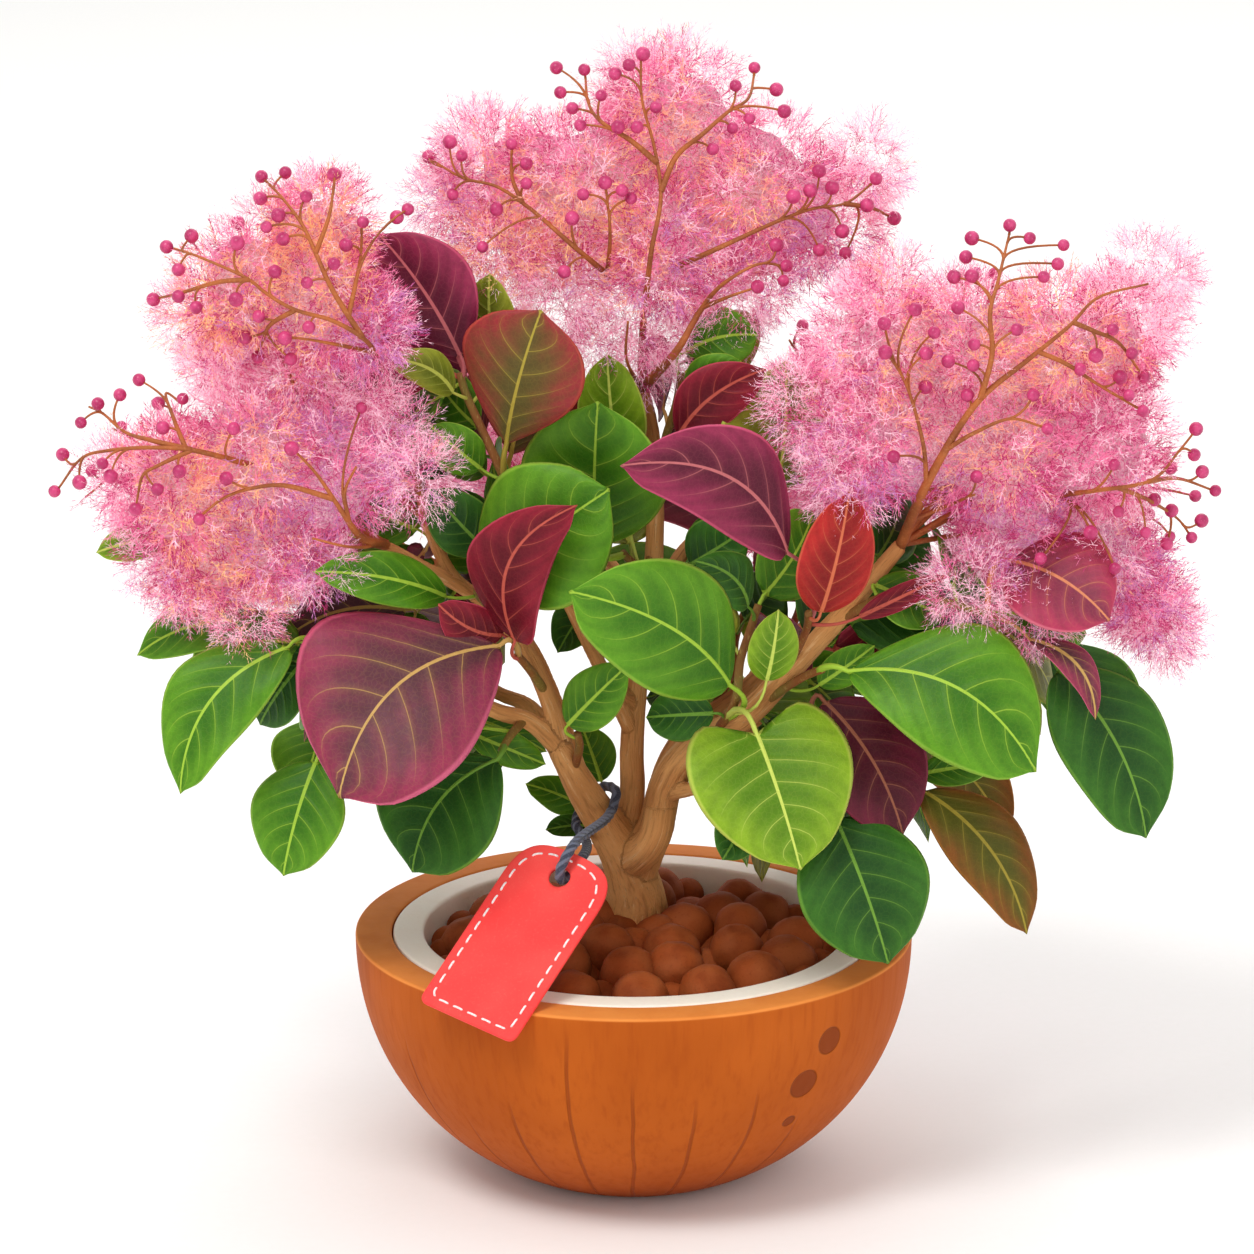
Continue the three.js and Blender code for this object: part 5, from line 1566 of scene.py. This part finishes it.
# %% Plumes of smoke
DENSE, THIN, LIGHT = 2.05, 2.1, 1.6
random = np.random.default_rng(33)
for row in PLUMES:
    for name, _, _, is_far in ways(row):
        puffs = round_spots(row["puffs"], is_far)
        smoke = haze(row, is_far, puffs, DENSE, puffs, random)
        wisps = haze(row, is_far, round_spots(WISPS[row["name"]], is_far), THIN, puffs, random)
        core = heart_skin(row, is_far, puffs[0], puffs[1] - 2)
        add(name.replace("plume", "smoke"), smoke, hairs, [name])
        add(name.replace("plume", "wisps"), wisps, hairs)
        add(name.replace("plume", "heart"), core, [heart])
for row in BETWEEN:
    puffs = round_spots(row["puffs"], False)
    add("smoke_" + row["name"], haze(row, False, puffs, LIGHT, puffs, random), hairs)
    add("heart_" + row["name"], heart_skin(row, False, puffs[0], puffs[1] - 2), [heart])

# %% [markdown]
# ## Twigs and fruit in the smoke
#
# Over each plume run brown twigs that fork, and every fork ends in a small round fruit. The main ribs
# and the fruit are placed as the viewer sees them and set on the plume's near side. A fruit's own twig
# then starts on the nearest rib, further down by 0.9 of its distance aside, so that it forks forwards
# as a real one does, and it bows towards the rib's tip. Puffs between the near and the far plumes keep
# the crown full from the sides; their ribs are seeded.


# %% Ribs and fruit as spots read off the photograph, in its dots
DOT_SIZE = 0.249
RIM_SPOT = (634, 926)
RIBS = {
    "plume_left_low": [
        [(257, 466), (188, 449), (152, 447), (108, 450), (82, 457), (58, 488)],
        [(188, 449), (173, 418), (166, 392), (180, 402)],
        [(190, 450), (152, 440), (122, 430), (101, 412), (88, 406)],
        [(190, 452), (156, 466), (143, 474), (137, 497)],
        [(379, 558), (360, 536), (337, 504), (315, 472), (292, 448)],
        [(334, 498), (283, 485), (251, 488), (223, 498), (202, 514)],
        [(379, 558), (345, 546), (312, 538)],
        [(350, 520), (345, 490), (356, 466)],
    ],
    "plume_left_high": [
        [(388, 358), (360, 335), (331, 319), (293, 308), (264, 291), (248, 278), (200, 256), (170, 246)],
        [(366, 334), (331, 287), (315, 252), (302, 224), (283, 198), (266, 180)],
        [(353, 310), (355, 281), (360, 252), (361, 226)],
        [(318, 249), (328, 214), (333, 180)],
        [(376, 351), (334, 343), (312, 339), (290, 336)],
        [(293, 310), (270, 323), (261, 342), (257, 352)],
        [(251, 278), (220, 280), (181, 291), (156, 297)],
    ],
    "plume_top": [
        [(645, 303), (652, 246), (661, 195), (655, 147), (642, 96), (641, 56)],
        [(661, 190), (677, 153), (703, 131), (728, 109), (748, 96), (755, 70)],
        [(655, 160), (630, 137), (604, 121), (588, 99), (585, 72)],
        [(610, 275), (572, 243), (528, 205), (496, 184), (464, 176), (432, 158)],
        [(524, 201), (512, 176), (511, 147)],
        [(617, 262), (610, 230), (606, 186)],
        [(677, 265), (719, 246), (783, 217), (815, 206), (846, 201), (874, 180)],
        [(671, 370), (680, 345), (700, 310), (725, 281), (760, 262), (784, 264)],
        [(703, 306), (732, 294), (756, 286)],
        [(633, 393), (626, 354), (628, 320)],
        [(846, 201), (870, 205), (892, 215)],
    ],
    "plume_right": [
        [(905, 520), (931, 476), (979, 400), (1027, 360), (1071, 324), (1099, 296), (1150, 282)],
        [(925, 486), (923, 440), (907, 384), (888, 352)],
        [(983, 396), (993, 352), (991, 312), (999, 280), (1011, 230)],
        [(913, 520), (945, 506), (975, 494)],
        [(947, 452), (975, 432), (1011, 418), (1044, 426)],
        [(1071, 324), (1096, 330), (1118, 340), (1142, 372)],
        [(1040, 350), (1066, 362), (1100, 384), (1140, 408)],
        [(1060, 494), (1095, 490), (1151, 480), (1180, 450), (1196, 430)],
        [(1151, 480), (1180, 478), (1212, 489)],
        [(1120, 487), (1150, 500), (1180, 520), (1190, 534)],
        [(1060, 494), (1080, 510), (1090, 528)],
    ],
}
FRUIT = {
    "plume_left_low": [
        (138, 379), (119, 394), (97, 403), (80, 422), (62, 454), (54, 491), (79, 482), (102, 463),
        (110, 476), (157, 489), (135, 509), (179, 471), (182, 398), (162, 427), (233, 428), (226, 478),
        (199, 519), (291, 448), (361, 407),
    ],
    "plume_left_high": [
        (165, 245), (190, 234), (177, 268), (152, 298), (177, 295), (195, 306), (236, 241), (235, 298),
        (258, 315), (274, 270), (244, 336), (284, 337), (257, 356), (290, 358), (308, 326), (260, 174),
        (259, 196), (284, 170), (333, 172), (305, 194), (277, 213), (265, 225), (282, 237), (306, 281),
        (333, 262), (345, 243), (362, 220), (396, 215), (407, 207),
    ],
    "plume_top": [
        (556, 64), (584, 66), (560, 89), (572, 105), (580, 122), (601, 92), (615, 70), (643, 50),
        (629, 61), (656, 104), (637, 124), (755, 64), (736, 82), (777, 86), (785, 108), (750, 115),
        (733, 125), (713, 146), (631, 196), (877, 176), (895, 216), (868, 203), (833, 185), (811, 188),
        (794, 194), (843, 229), (846, 251), (820, 248), (777, 243), (787, 264), (784, 279), (758, 285),
        (428, 154), (449, 139), (452, 192), (511, 141), (526, 161), (526, 181), (496, 207), (482, 245),
        (583, 192), (605, 180), (572, 216), (564, 270), (461, 153), (618, 124), (622, 188), (820, 168),
    ],
    "plume_right": [
        (1011, 223), (973, 236), (1031, 236), (1065, 243), (1059, 262), (1045, 275), (967, 255),
        (955, 275), (973, 274), (959, 306), (916, 308), (885, 322), (935, 331), (886, 351), (927, 352),
        (975, 343), (949, 360), (974, 364), (926, 386), (968, 394), (1018, 328), (1114, 328),
        (1133, 352), (1097, 354), (1081, 368), (1145, 376), (1121, 376), (1130, 394), (1144, 410),
        (1034, 394), (1048, 428), (894, 456), (977, 476), (1197, 428), (1195, 454), (1203, 471),
        (1216, 490), (1202, 520), (1192, 537), (1167, 543), (1146, 532), (1155, 499), (1172, 510),
        (1119, 511), (1115, 464), (1091, 532), (1115, 568), (1041, 558),
    ],
}


def as_seen(spots):
    """Across and up, in mm from the middle of the rim, of spots in the photograph: each dot is DOT_SIZE."""
    return (np.array(spots) - RIM_SPOT) * (DOT_SIZE, -DOT_SIZE)


# %% Forks
RIB_POINTS = 48
HOST_REACH = 13
RIB_REACH = 6
RIB_LIFT = 3.4
RIB_DEPTH = 8


def fork_to(ribs, fruit, random):
    """A twig to each fruit: a quadratic curve from the nearest rib over a bend further along that rib."""
    points = np.concatenate(ribs)
    along = np.concatenate([unit(np.gradient(rib, axis=0)) for rib in ribs])
    nearest = np.argmin(size_of(fruit[:, None] - points), axis=-1)
    aside = size_of(fruit - points[nearest])
    rib = nearest // RIB_POINTS
    step = np.array([np.linalg.norm(line[1] - line[0]) for line in ribs])
    root = np.maximum(nearest - (0.9 * aside / step[rib]).astype(int), rib * RIB_POINTS)
    start, ahead = points[root], along[root]
    far = size_of(fruit - start)[:, None]
    bend = start + 0.5 * far * ahead + 0.05 * far * random.normal(size=far.shape)
    s = np.linspace(0, 1, 9)[None, :, None]
    return quadratic(start[:, None], bend[:, None], fruit[:, None], s)


def seeded_ribs(centres, radii, stem, random):
    """Ribs from the stem's end to each puff's skin, and fruit by their tips, for plumes further back."""
    out = unit(centres - stem + 0.3 * random.normal(size=centres.shape))
    ends = centres + (radii[:, None] + 4) * out
    middle = (stem + centres) / 2 + 0.75 * radii[:, None] * unit((centres - GROWTH_CENTRE) * (1, 1, 0))
    ribs = [smooth_path([stem, mid, end], RIB_POINTS) for mid, end in zip(middle, ends)]
    tips = np.concatenate([rib[[22, 28, 34, 40, 45]] for rib in ribs])
    outwards = unit((tips - GROWTH_CENTRE) * (1, 1, 0.4))
    return ribs, tips + 7 * unit(random.normal(size=tips.shape) + 1.2 * outwards)


def drawn_ribs(row, is_far, hosts):
    """Ribs from their spots in the view. A rib that starts within reach of a host, the stem's root or its
    tip, or of an earlier rib, grows from there. The first on the root is thick. Any other starts deep in
    the smoke."""
    ribs, thick = [], []
    for spots in RIBS[row["name"]]:
        path = front_of(row, as_seen(spots))
        path[1:, 2] -= RIB_LIFT
        points = placed(path, is_far)
        places = np.concatenate([hosts, *ribs])
        away = size_of(in_view(places) - in_view(points[:1]))
        away[: len(hosts)] *= RIB_REACH / HOST_REACH
        nearest = int(np.argmin(away))
        is_rooted = away[nearest] < RIB_REACH
        start = places[nearest] if is_rooted else placed(path[:1] + (0, 0, RIB_DEPTH), is_far)[0]
        ribs.append(smooth_path(np.concatenate([[start], points[1:]]), RIB_POINTS))
        is_main = is_rooted and nearest == 0 and max(thick, default=0) < 1
        thick.append(1.5 if is_main else 0.62 if len(spots) > 4 else 0.46)
    return ribs, thick


def with_forks(ribs, thick, fruit, random):
    """Ribs and their fruits' twigs as skins: a rib's radius is 0.28 + 0.8 thick (1 - t) ** 1.3."""
    taper = (1 - np.linspace(0, 1, RIB_POINTS)) ** 1.3
    twigs = fork_to(ribs, fruit, random)
    return [
        tubes(np.stack(ribs), 0.28 + np.array(thick)[:, None] * taper * 0.8, 8),
        tubes(twigs, np.broadcast_to(np.linspace(0.36, 0.25, 9), twigs.shape[:2]), 6),
    ]


twig_skins, fruit_places = [], []
for row in PLUMES:
    for name, _, _, is_far in ways(row):
        stem, stem_radii = limbs[name]
        twig_skins.append(tubes([stem], [stem_radii * np.linspace(1, 0.4, len(stem))], 8))
        if row["name"] in RIBS:
            ribs, thick = drawn_ribs(row, is_far, stem[[0, -1]])
            fruit = front_of(row, as_seen(FRUIT[row["name"]]))
            fruit[:, 2] -= random.uniform(3, 6, len(fruit))
            fruit = placed(fruit[:: 2 if is_far else 1], is_far)
        else:
            ribs, fruit = seeded_ribs(*round_spots(row["puffs"], is_far), stem[-1], random)
            thick = [0.6] * len(ribs)
        twig_skins += with_forks(ribs, thick, fruit, random)
        fruit_places.append(fruit)
for row in BETWEEN:
    ribs, fruit = seeded_ribs(*round_spots(row["puffs"], False), point_on(row["parent"], 1), random)
    twig_skins += with_forks(ribs, [0.6] * len(ribs), fruit, random)
    fruit_places.append(fruit)


def twig_finish():
    """Wiry twigs, red-brown in places and brown in others, with a paler grain."""
    twig = Finish("wiry_twig")
    place = twig.place()
    cloud = twig.noise(place, 0.12, 2.0)
    grain = twig.noise(place, 1.6, 3.0)
    body = twig.mix(cloud.step(0.35, 0.65), (178, 98, 50), (144, 78, 42))
    body = twig.mix(grain.step(0.5, 0.8) * 0.5, body, (206, 146, 88))
    return twig.done(body, grain * 0.2 + 0.5, grain, 0.2, 0.6)


def fruit_finish():
    """Magenta fruit: soft gloss, a blush of deeper red and fine pale dots."""
    fruit = Finish("round_fruit", Coat_Weight=0.35, Coat_Roughness=0.25)
    place = fruit.place()
    blush = fruit.noise(place, 0.35, 2.0)
    dots = fruit.cells(place, 1.6)
    body = fruit.mix(blush.step(0.35, 0.65), (206, 66, 120), (172, 38, 92))
    body = fruit.mix(dots.step(0.22, 0.1) * 0.35, body, (236, 140, 180))
    return fruit.done(body, blush * 0.15 + 0.34, dots, 0.12, 0.5)


add("plume_twigs", closed(joined(twig_skins)), [twig_finish()])
fruit_at = np.concatenate(fruit_places)
sizes = random.uniform(1.4, 1.8, len(fruit_at))
add("fruit", closed(balls(fruit_at, sizes, 9, 12)), [fruit_finish()])
print("fruit:", len(fruit_at))

# %% [markdown]
# ## Tag and cord
#
# A red card hangs by a cord from the trunk and leans over the rim. Its outline is not a box: round at
# the top, small curves at the lower corners, a punched hole. Rings of points between the hole and the
# outline give all of it one clean grid. The stitches near its edge are short white threads that stand
# up from the card, laid at even distances along a copy of the outline set inwards.


# %% The card's place and outline
TAG_LENGTH = 51
TAG_WIDTH = 26.8
TAG_THICKNESS = 1.2
TAG_HOLE_RADIUS = 2.6
TAG_HOLE_INSET = 7.2
TAG_CORNER = 2.4
TAG_LEAN = math.radians(42)
TAG_BEARING = np.array([-0.25, -0.968, 0])
TAG_SWING = math.radians(-20)
TAG_TOUCH = np.array([-0.377, -0.926, 0])
TAG_ABOVE = 35
TAG_ASIDE = 11
CORD_RADIUS = 1.25
CORD_HEIGHT = 0.62
STRANDS = 3.0
TWIST_LENGTH = 3.2
STITCH_INSET = 2.3
STITCH_LENGTH = 2.5
STITCH_STEP = 4


def turned_about(vector, axis, angle):
    """A vector turned about a unit axis: v cos a + (axis x v) sin a, for v square to the axis."""
    return vector * math.cos(angle) + np.cross(axis, vector) * math.sin(angle)


def tag_ways():
    """The card's directions across, up its slope and out of its face, and its hole's place."""
    across = unit(np.cross((0, 0, 1), TAG_BEARING))
    down = unit(TAG_BEARING * math.cos(TAG_LEAN) - (0, 0, math.sin(TAG_LEAN)))
    out = unit(np.cross(down, across))
    across, down = (turned_about(way, out, TAG_SWING) for way in (across, down))
    hole = TAG_TOUCH * POT_RADIUS + RIM + out * (TAG_THICKNESS + CLEAR)
    return across, -down, out, hole - down * TAG_ABOVE - across * TAG_ASIDE


def on_card(flat, height):
    """Points over the card: the hole's middle plus flat's parts across and up, and height out of it."""
    across, up, out, hole = tag_ways()
    return hole + flat[..., :1] * across + flat[..., 1:] * up + height[..., None] * out


def drawn_curve(points, count):
    """Points of a curve drawn from a few: the sum of binomial weights times them, without the last."""
    points = np.array(points, float)
    t = np.linspace(0, 1, count, endpoint=False)[:, None]
    degree = len(points) - 1
    weights = [math.comb(degree, k) * t**k * (1 - t) ** (degree - k) for k in range(degree + 1)]
    return sum(weight * point for weight, point in zip(weights, points))


def card_outline(inset=0.0):
    """The card's edge, from its lower left corner round by the right, drawn in by an inset."""
    half = TAG_WIDTH / 2 - inset
    low, high = TAG_HOLE_INSET - TAG_LENGTH + inset, TAG_HOLE_INSET - inset
    shoulder, corner = high - half * 0.9, TAG_CORNER
    return np.concatenate([
        drawn_curve([(-half + corner, low), (half - corner, low)], 24),
        drawn_curve([(half - corner, low), (half, low), (half, low + corner)], 8),
        drawn_curve([(half, low + corner), (half, shoulder)], 36),
        drawn_curve([(half, shoulder), (half, high - 1), (half * 0.6, high), (0, high)], 20),
        drawn_curve([(0, high), (-half * 0.6, high), (-half, high - 1), (-half, shoulder)], 20),
        drawn_curve([(-half, shoulder), (-half, low + corner)], 36),
        drawn_curve([(-half, low + corner), (-half, low), (-half + corner, low)], 8),
    ])


# %% The card
def card_skin():
    """Rings from the hole over the upper face, round the rim and back below: each lies a share of the way
    from the hole's circle to the outline."""
    edge = card_outline()
    circle = unit(edge) * TAG_HOLE_RADIUS
    shares = np.array([0, 0.02, 0.06, 0.15, 0.3, 0.5, 0.7, 0.85, 0.94, 0.98, 0.993, 1])
    depth = np.array([0.3, 0.05, 0, 0, 0, 0, 0, 0, 0, 0.03, 0.12, 0.34])
    share = np.concatenate([shares, shares[::-1]])[:, None, None]
    height = np.concatenate([-depth, depth[::-1] - TAG_THICKNESS])[:, None]
    flat = circle + share * (edge - circle)
    points = on_card(flat, height + 0 * flat[..., 0])
    points = np.concatenate([points, points[:1]])
    return closed(Skin(points, grid(len(points), len(edge))))


def card_finish():
    """Red card: short paler fibres and a slight mottle."""
    card = Finish("red_card")
    place = card.place()
    fibres = card.noise(place, 1.4, 5.0, 0.65)
    cloud = card.noise(place, 0.05, 2.0)
    body = card.mix(cloud.step(0.3, 0.7), (255, 80, 74), (247, 62, 60))
    body = card.mix(fibres.step(0.5, 0.8) * 0.25, body, (255, 128, 112))
    return card.done(body, fibres * 0.2 + 0.5, fibres, 0.25, 0.4)


add("tag_card", card_skin(), [card_finish()], ["tag"])


# %% The stitches
def stitch_skin():
    """Threads along the outline drawn inwards, each an arch, 0.36 sin(pi s) ** 0.4, sunk at its ends."""
    line, length = evenly(card_outline(STITCH_INSET), 960, True)
    count = round(length / STITCH_STEP)
    s = np.linspace(0, 1, 9)
    spot = (np.arange(count)[:, None] / count + STITCH_LENGTH / length * s) * len(line)
    paths = on_card(line[spot.astype(int) % len(line)], 0.36 * np.sin(np.pi * s) ** 0.4 - 0.18)
    return closed(tubes(paths, np.full(paths.shape[:2], 0.27), 8))


def thread_finish():
    """Twisted white thread."""
    thread = Finish("white_thread", Roughness=0.7)
    strands = thread.noise(thread.place(), 2.2, 3.0)
    body = thread.mix(strands.step(0.4, 0.7), (252, 246, 244), (236, 216, 212))
    return thread.done(body, None, strands, 0.2, 0.6)


add("stitches", stitch_skin(), [thread_finish()])


# %% The cord
def cord_path():
    """The loop's points: through the card's hole, round the trunk and back to the hole from behind."""
    *_, hole = tag_ways()
    trunk, thick = limbs["trunk"]
    spot = round(CORD_HEIGHT * (len(trunk) - 1))
    centre, axis = trunk[spot], unit(trunk[spot + 1] - trunk[spot - 1])
    front = hole - centre
    front = unit(front - (front * axis).sum() * axis)
    side = np.cross(axis, front)
    far = thick[spot] + CORD_RADIUS + 3 * CLEAR
    card = lambda x, y, z: on_card(np.array([x, y]), np.array(z))
    degrees, lift = np.array([(50, 1.5), (105, 2), (160, 1), (215, -1), (270, -2.5), (318, -3.5)]).T
    angle = np.radians(degrees)[:, None]
    ring = centre + far * (np.cos(angle) * front + np.sin(angle) * side) + lift[:, None] * axis
    ends = [card(0, 0, -TAG_THICKNESS / 2), card(0, 1.4, 2), card(0, TAG_HOLE_INSET, 3.2)]
    back = [card(0, TAG_HOLE_INSET, -4.6), card(0, 1.4, -TAG_THICKNESS - 2.2)]
    loop = np.array([*ends, *ring, *back])
    around = smooth_path(np.concatenate([loop, loop, loop]), 1800)
    away = size_of(around - loop[0])
    return around[300 + np.argmin(away[300:900]) : 900 + np.argmin(away[900:1500])]


def cord_skin():
    """A closed tube of strands that twist: radius * (0.93 + 0.08 cos(strands * a - twist))."""
    line, length = evenly(cord_path(), 420, True)
    print("round the cord's loop, mm:", round(length, 1))
    along = unit(np.roll(line, -1, 0) - np.roll(line, 1, 0))
    first = unit(np.cross(along, (0.2, 0.9, 0.35)))
    second = np.cross(along, first)
    angle = np.linspace(0, 2 * np.pi, 18, endpoint=False)
    twist = 2 * np.pi * round(length / TWIST_LENGTH) * np.arange(len(line))[:, None] / len(line)
    radius = CORD_RADIUS * (0.93 + 0.08 * np.cos(STRANDS * angle - twist))
    ring = np.cos(angle)[:, None] * first[:, None] + np.sin(angle)[:, None] * second[:, None]
    points = line[:, None] + radius[..., None] * ring
    points = np.concatenate([points, points[:1]])
    so_far = np.linspace(0, length, len(points))[:, None] + 0 * angle
    twine = np.stack([0 * so_far + angle, so_far, 0 * so_far], -1).reshape(-1, 3)
    return closed(Skin(points, grid(len(points), len(angle)), twine=twine))


def cord_finish():
    """Blue-grey twisted twine: strands by the angle and the length, each paler along one side as a painted
    highlight and darker beside it as painted shade, and loose fibres.
    """
    cord = Finish("twisted_cord", Roughness=0.75, Sheen_Weight=0.2)
    angle, length, _ = cord.parts(cord.value("twine"))
    strand = cord.math("SINE", angle * STRANDS - length * (2 * math.pi / TWIST_LENGTH))
    fibres = cord.noise(cord.place(), 2.6, 4.0)
    # Paler and darker stripes along the strands: painted highlight and painted shade.
    body = cord.mix(strand.step(-0.4, 0.8), (58, 62, 78), (104, 110, 128))
    body = cord.mix(fibres.step(0.5, 0.8) * 0.4, body, (140, 146, 162))
    return cord.done(body, None, fibres + strand * 0.4, 0.3, 0.8)


add("twine", cord_skin(), [cord_finish()], ["tag_cord"])

# %% [markdown]
# ## Floor, light and camera
#
# A pale floor and large soft lights let the colours of the plant speak. The key light stands in front
# on the upper left, because the leaves are brightest there. The camera looks down by the tilt that the
# ellipse of the rim shows: its height is the sine of the tilt times its width.


# %% Floor and lights
FLOOR_SIZE = 12.0


def pale_floor():
    """A wide, flat floor just under the coconut, of pale paper."""
    paper = Finish("pale_paper", Roughness=0.85)
    grain = paper.noise(paper.place(), 0.4, 2.0)
    paper.paint("Base_Color", paper.mix(grain, (252, 251, 249), (249, 248, 245)))
    mesh = bpy.data.meshes.new("floor")
    corners = FLOOR_SIZE / 2 * np.array([(-1, -1, 0), (1, -1, 0), (1, 1, 0), (-1, 1, 0)])
    mesh.from_pydata(corners.tolist(), [], [(0, 1, 2, 3)])
    mesh.materials.append(paper.material)
    linked("floor", mesh)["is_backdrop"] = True


def soft_light(name, place, size, power):
    """A square area light that faces the middle of the plant."""
    light = bpy.data.lights.new(name, "AREA")
    light.size = size
    light.energy = power
    lamp = linked(name, light)
    lamp.location = place
    lamp.rotation_euler = (Vector((0, 0, 0.15)) - lamp.location).to_track_quat("-Z", "Y").to_euler()


pale_floor()
soft_light("key", (-0.6, -0.95, 1.75), 0.7, 18.5)
soft_light("fill", (1.3, -1.5, 0.9), 1.6, 6.5)
soft_light("back", (0.4, 1.3, 1.6), 1.4, 10)
world = bpy.data.worlds.new("pale_room")
world.use_nodes = True
world.node_tree.nodes["Background"].inputs["Color"].default_value = (1, 1, 1, 1)
world.node_tree.nodes["Background"].inputs["Strength"].default_value = 0.78
bpy.context.scene.world = world
bpy.context.scene.view_settings.view_transform = "Standard"

# %% Camera
FOCAL_LENGTH = 161.7
AIM_ASIDE = -1.7
AIM_UP = 74.5
towards = np.array([0, -math.cos(VIEW_TILT), math.sin(VIEW_TILT)])
upward = np.array([0, math.sin(VIEW_TILT), math.cos(VIEW_TILT)])
eye = (RIM + VIEW_DISTANCE * towards) * MM
aim = (RIM + AIM_UP * upward + (AIM_ASIDE, 0, 0)) * MM
lens = bpy.data.cameras.new("camera")
lens.sensor_width = 36
lens.lens = FOCAL_LENGTH
lens.dof.use_dof = False
camera = linked("camera", lens)
camera.location = eye
camera.rotation_euler = Vector(aim - eye).to_track_quat("-Z", "Y").to_euler()
bpy.context.scene.camera = camera

# %% Sizes of the solids and of the scene
sizes = dict(cad_box=cad_box, scene_box=[list(corner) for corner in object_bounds()])
print("sizes:", sizes)
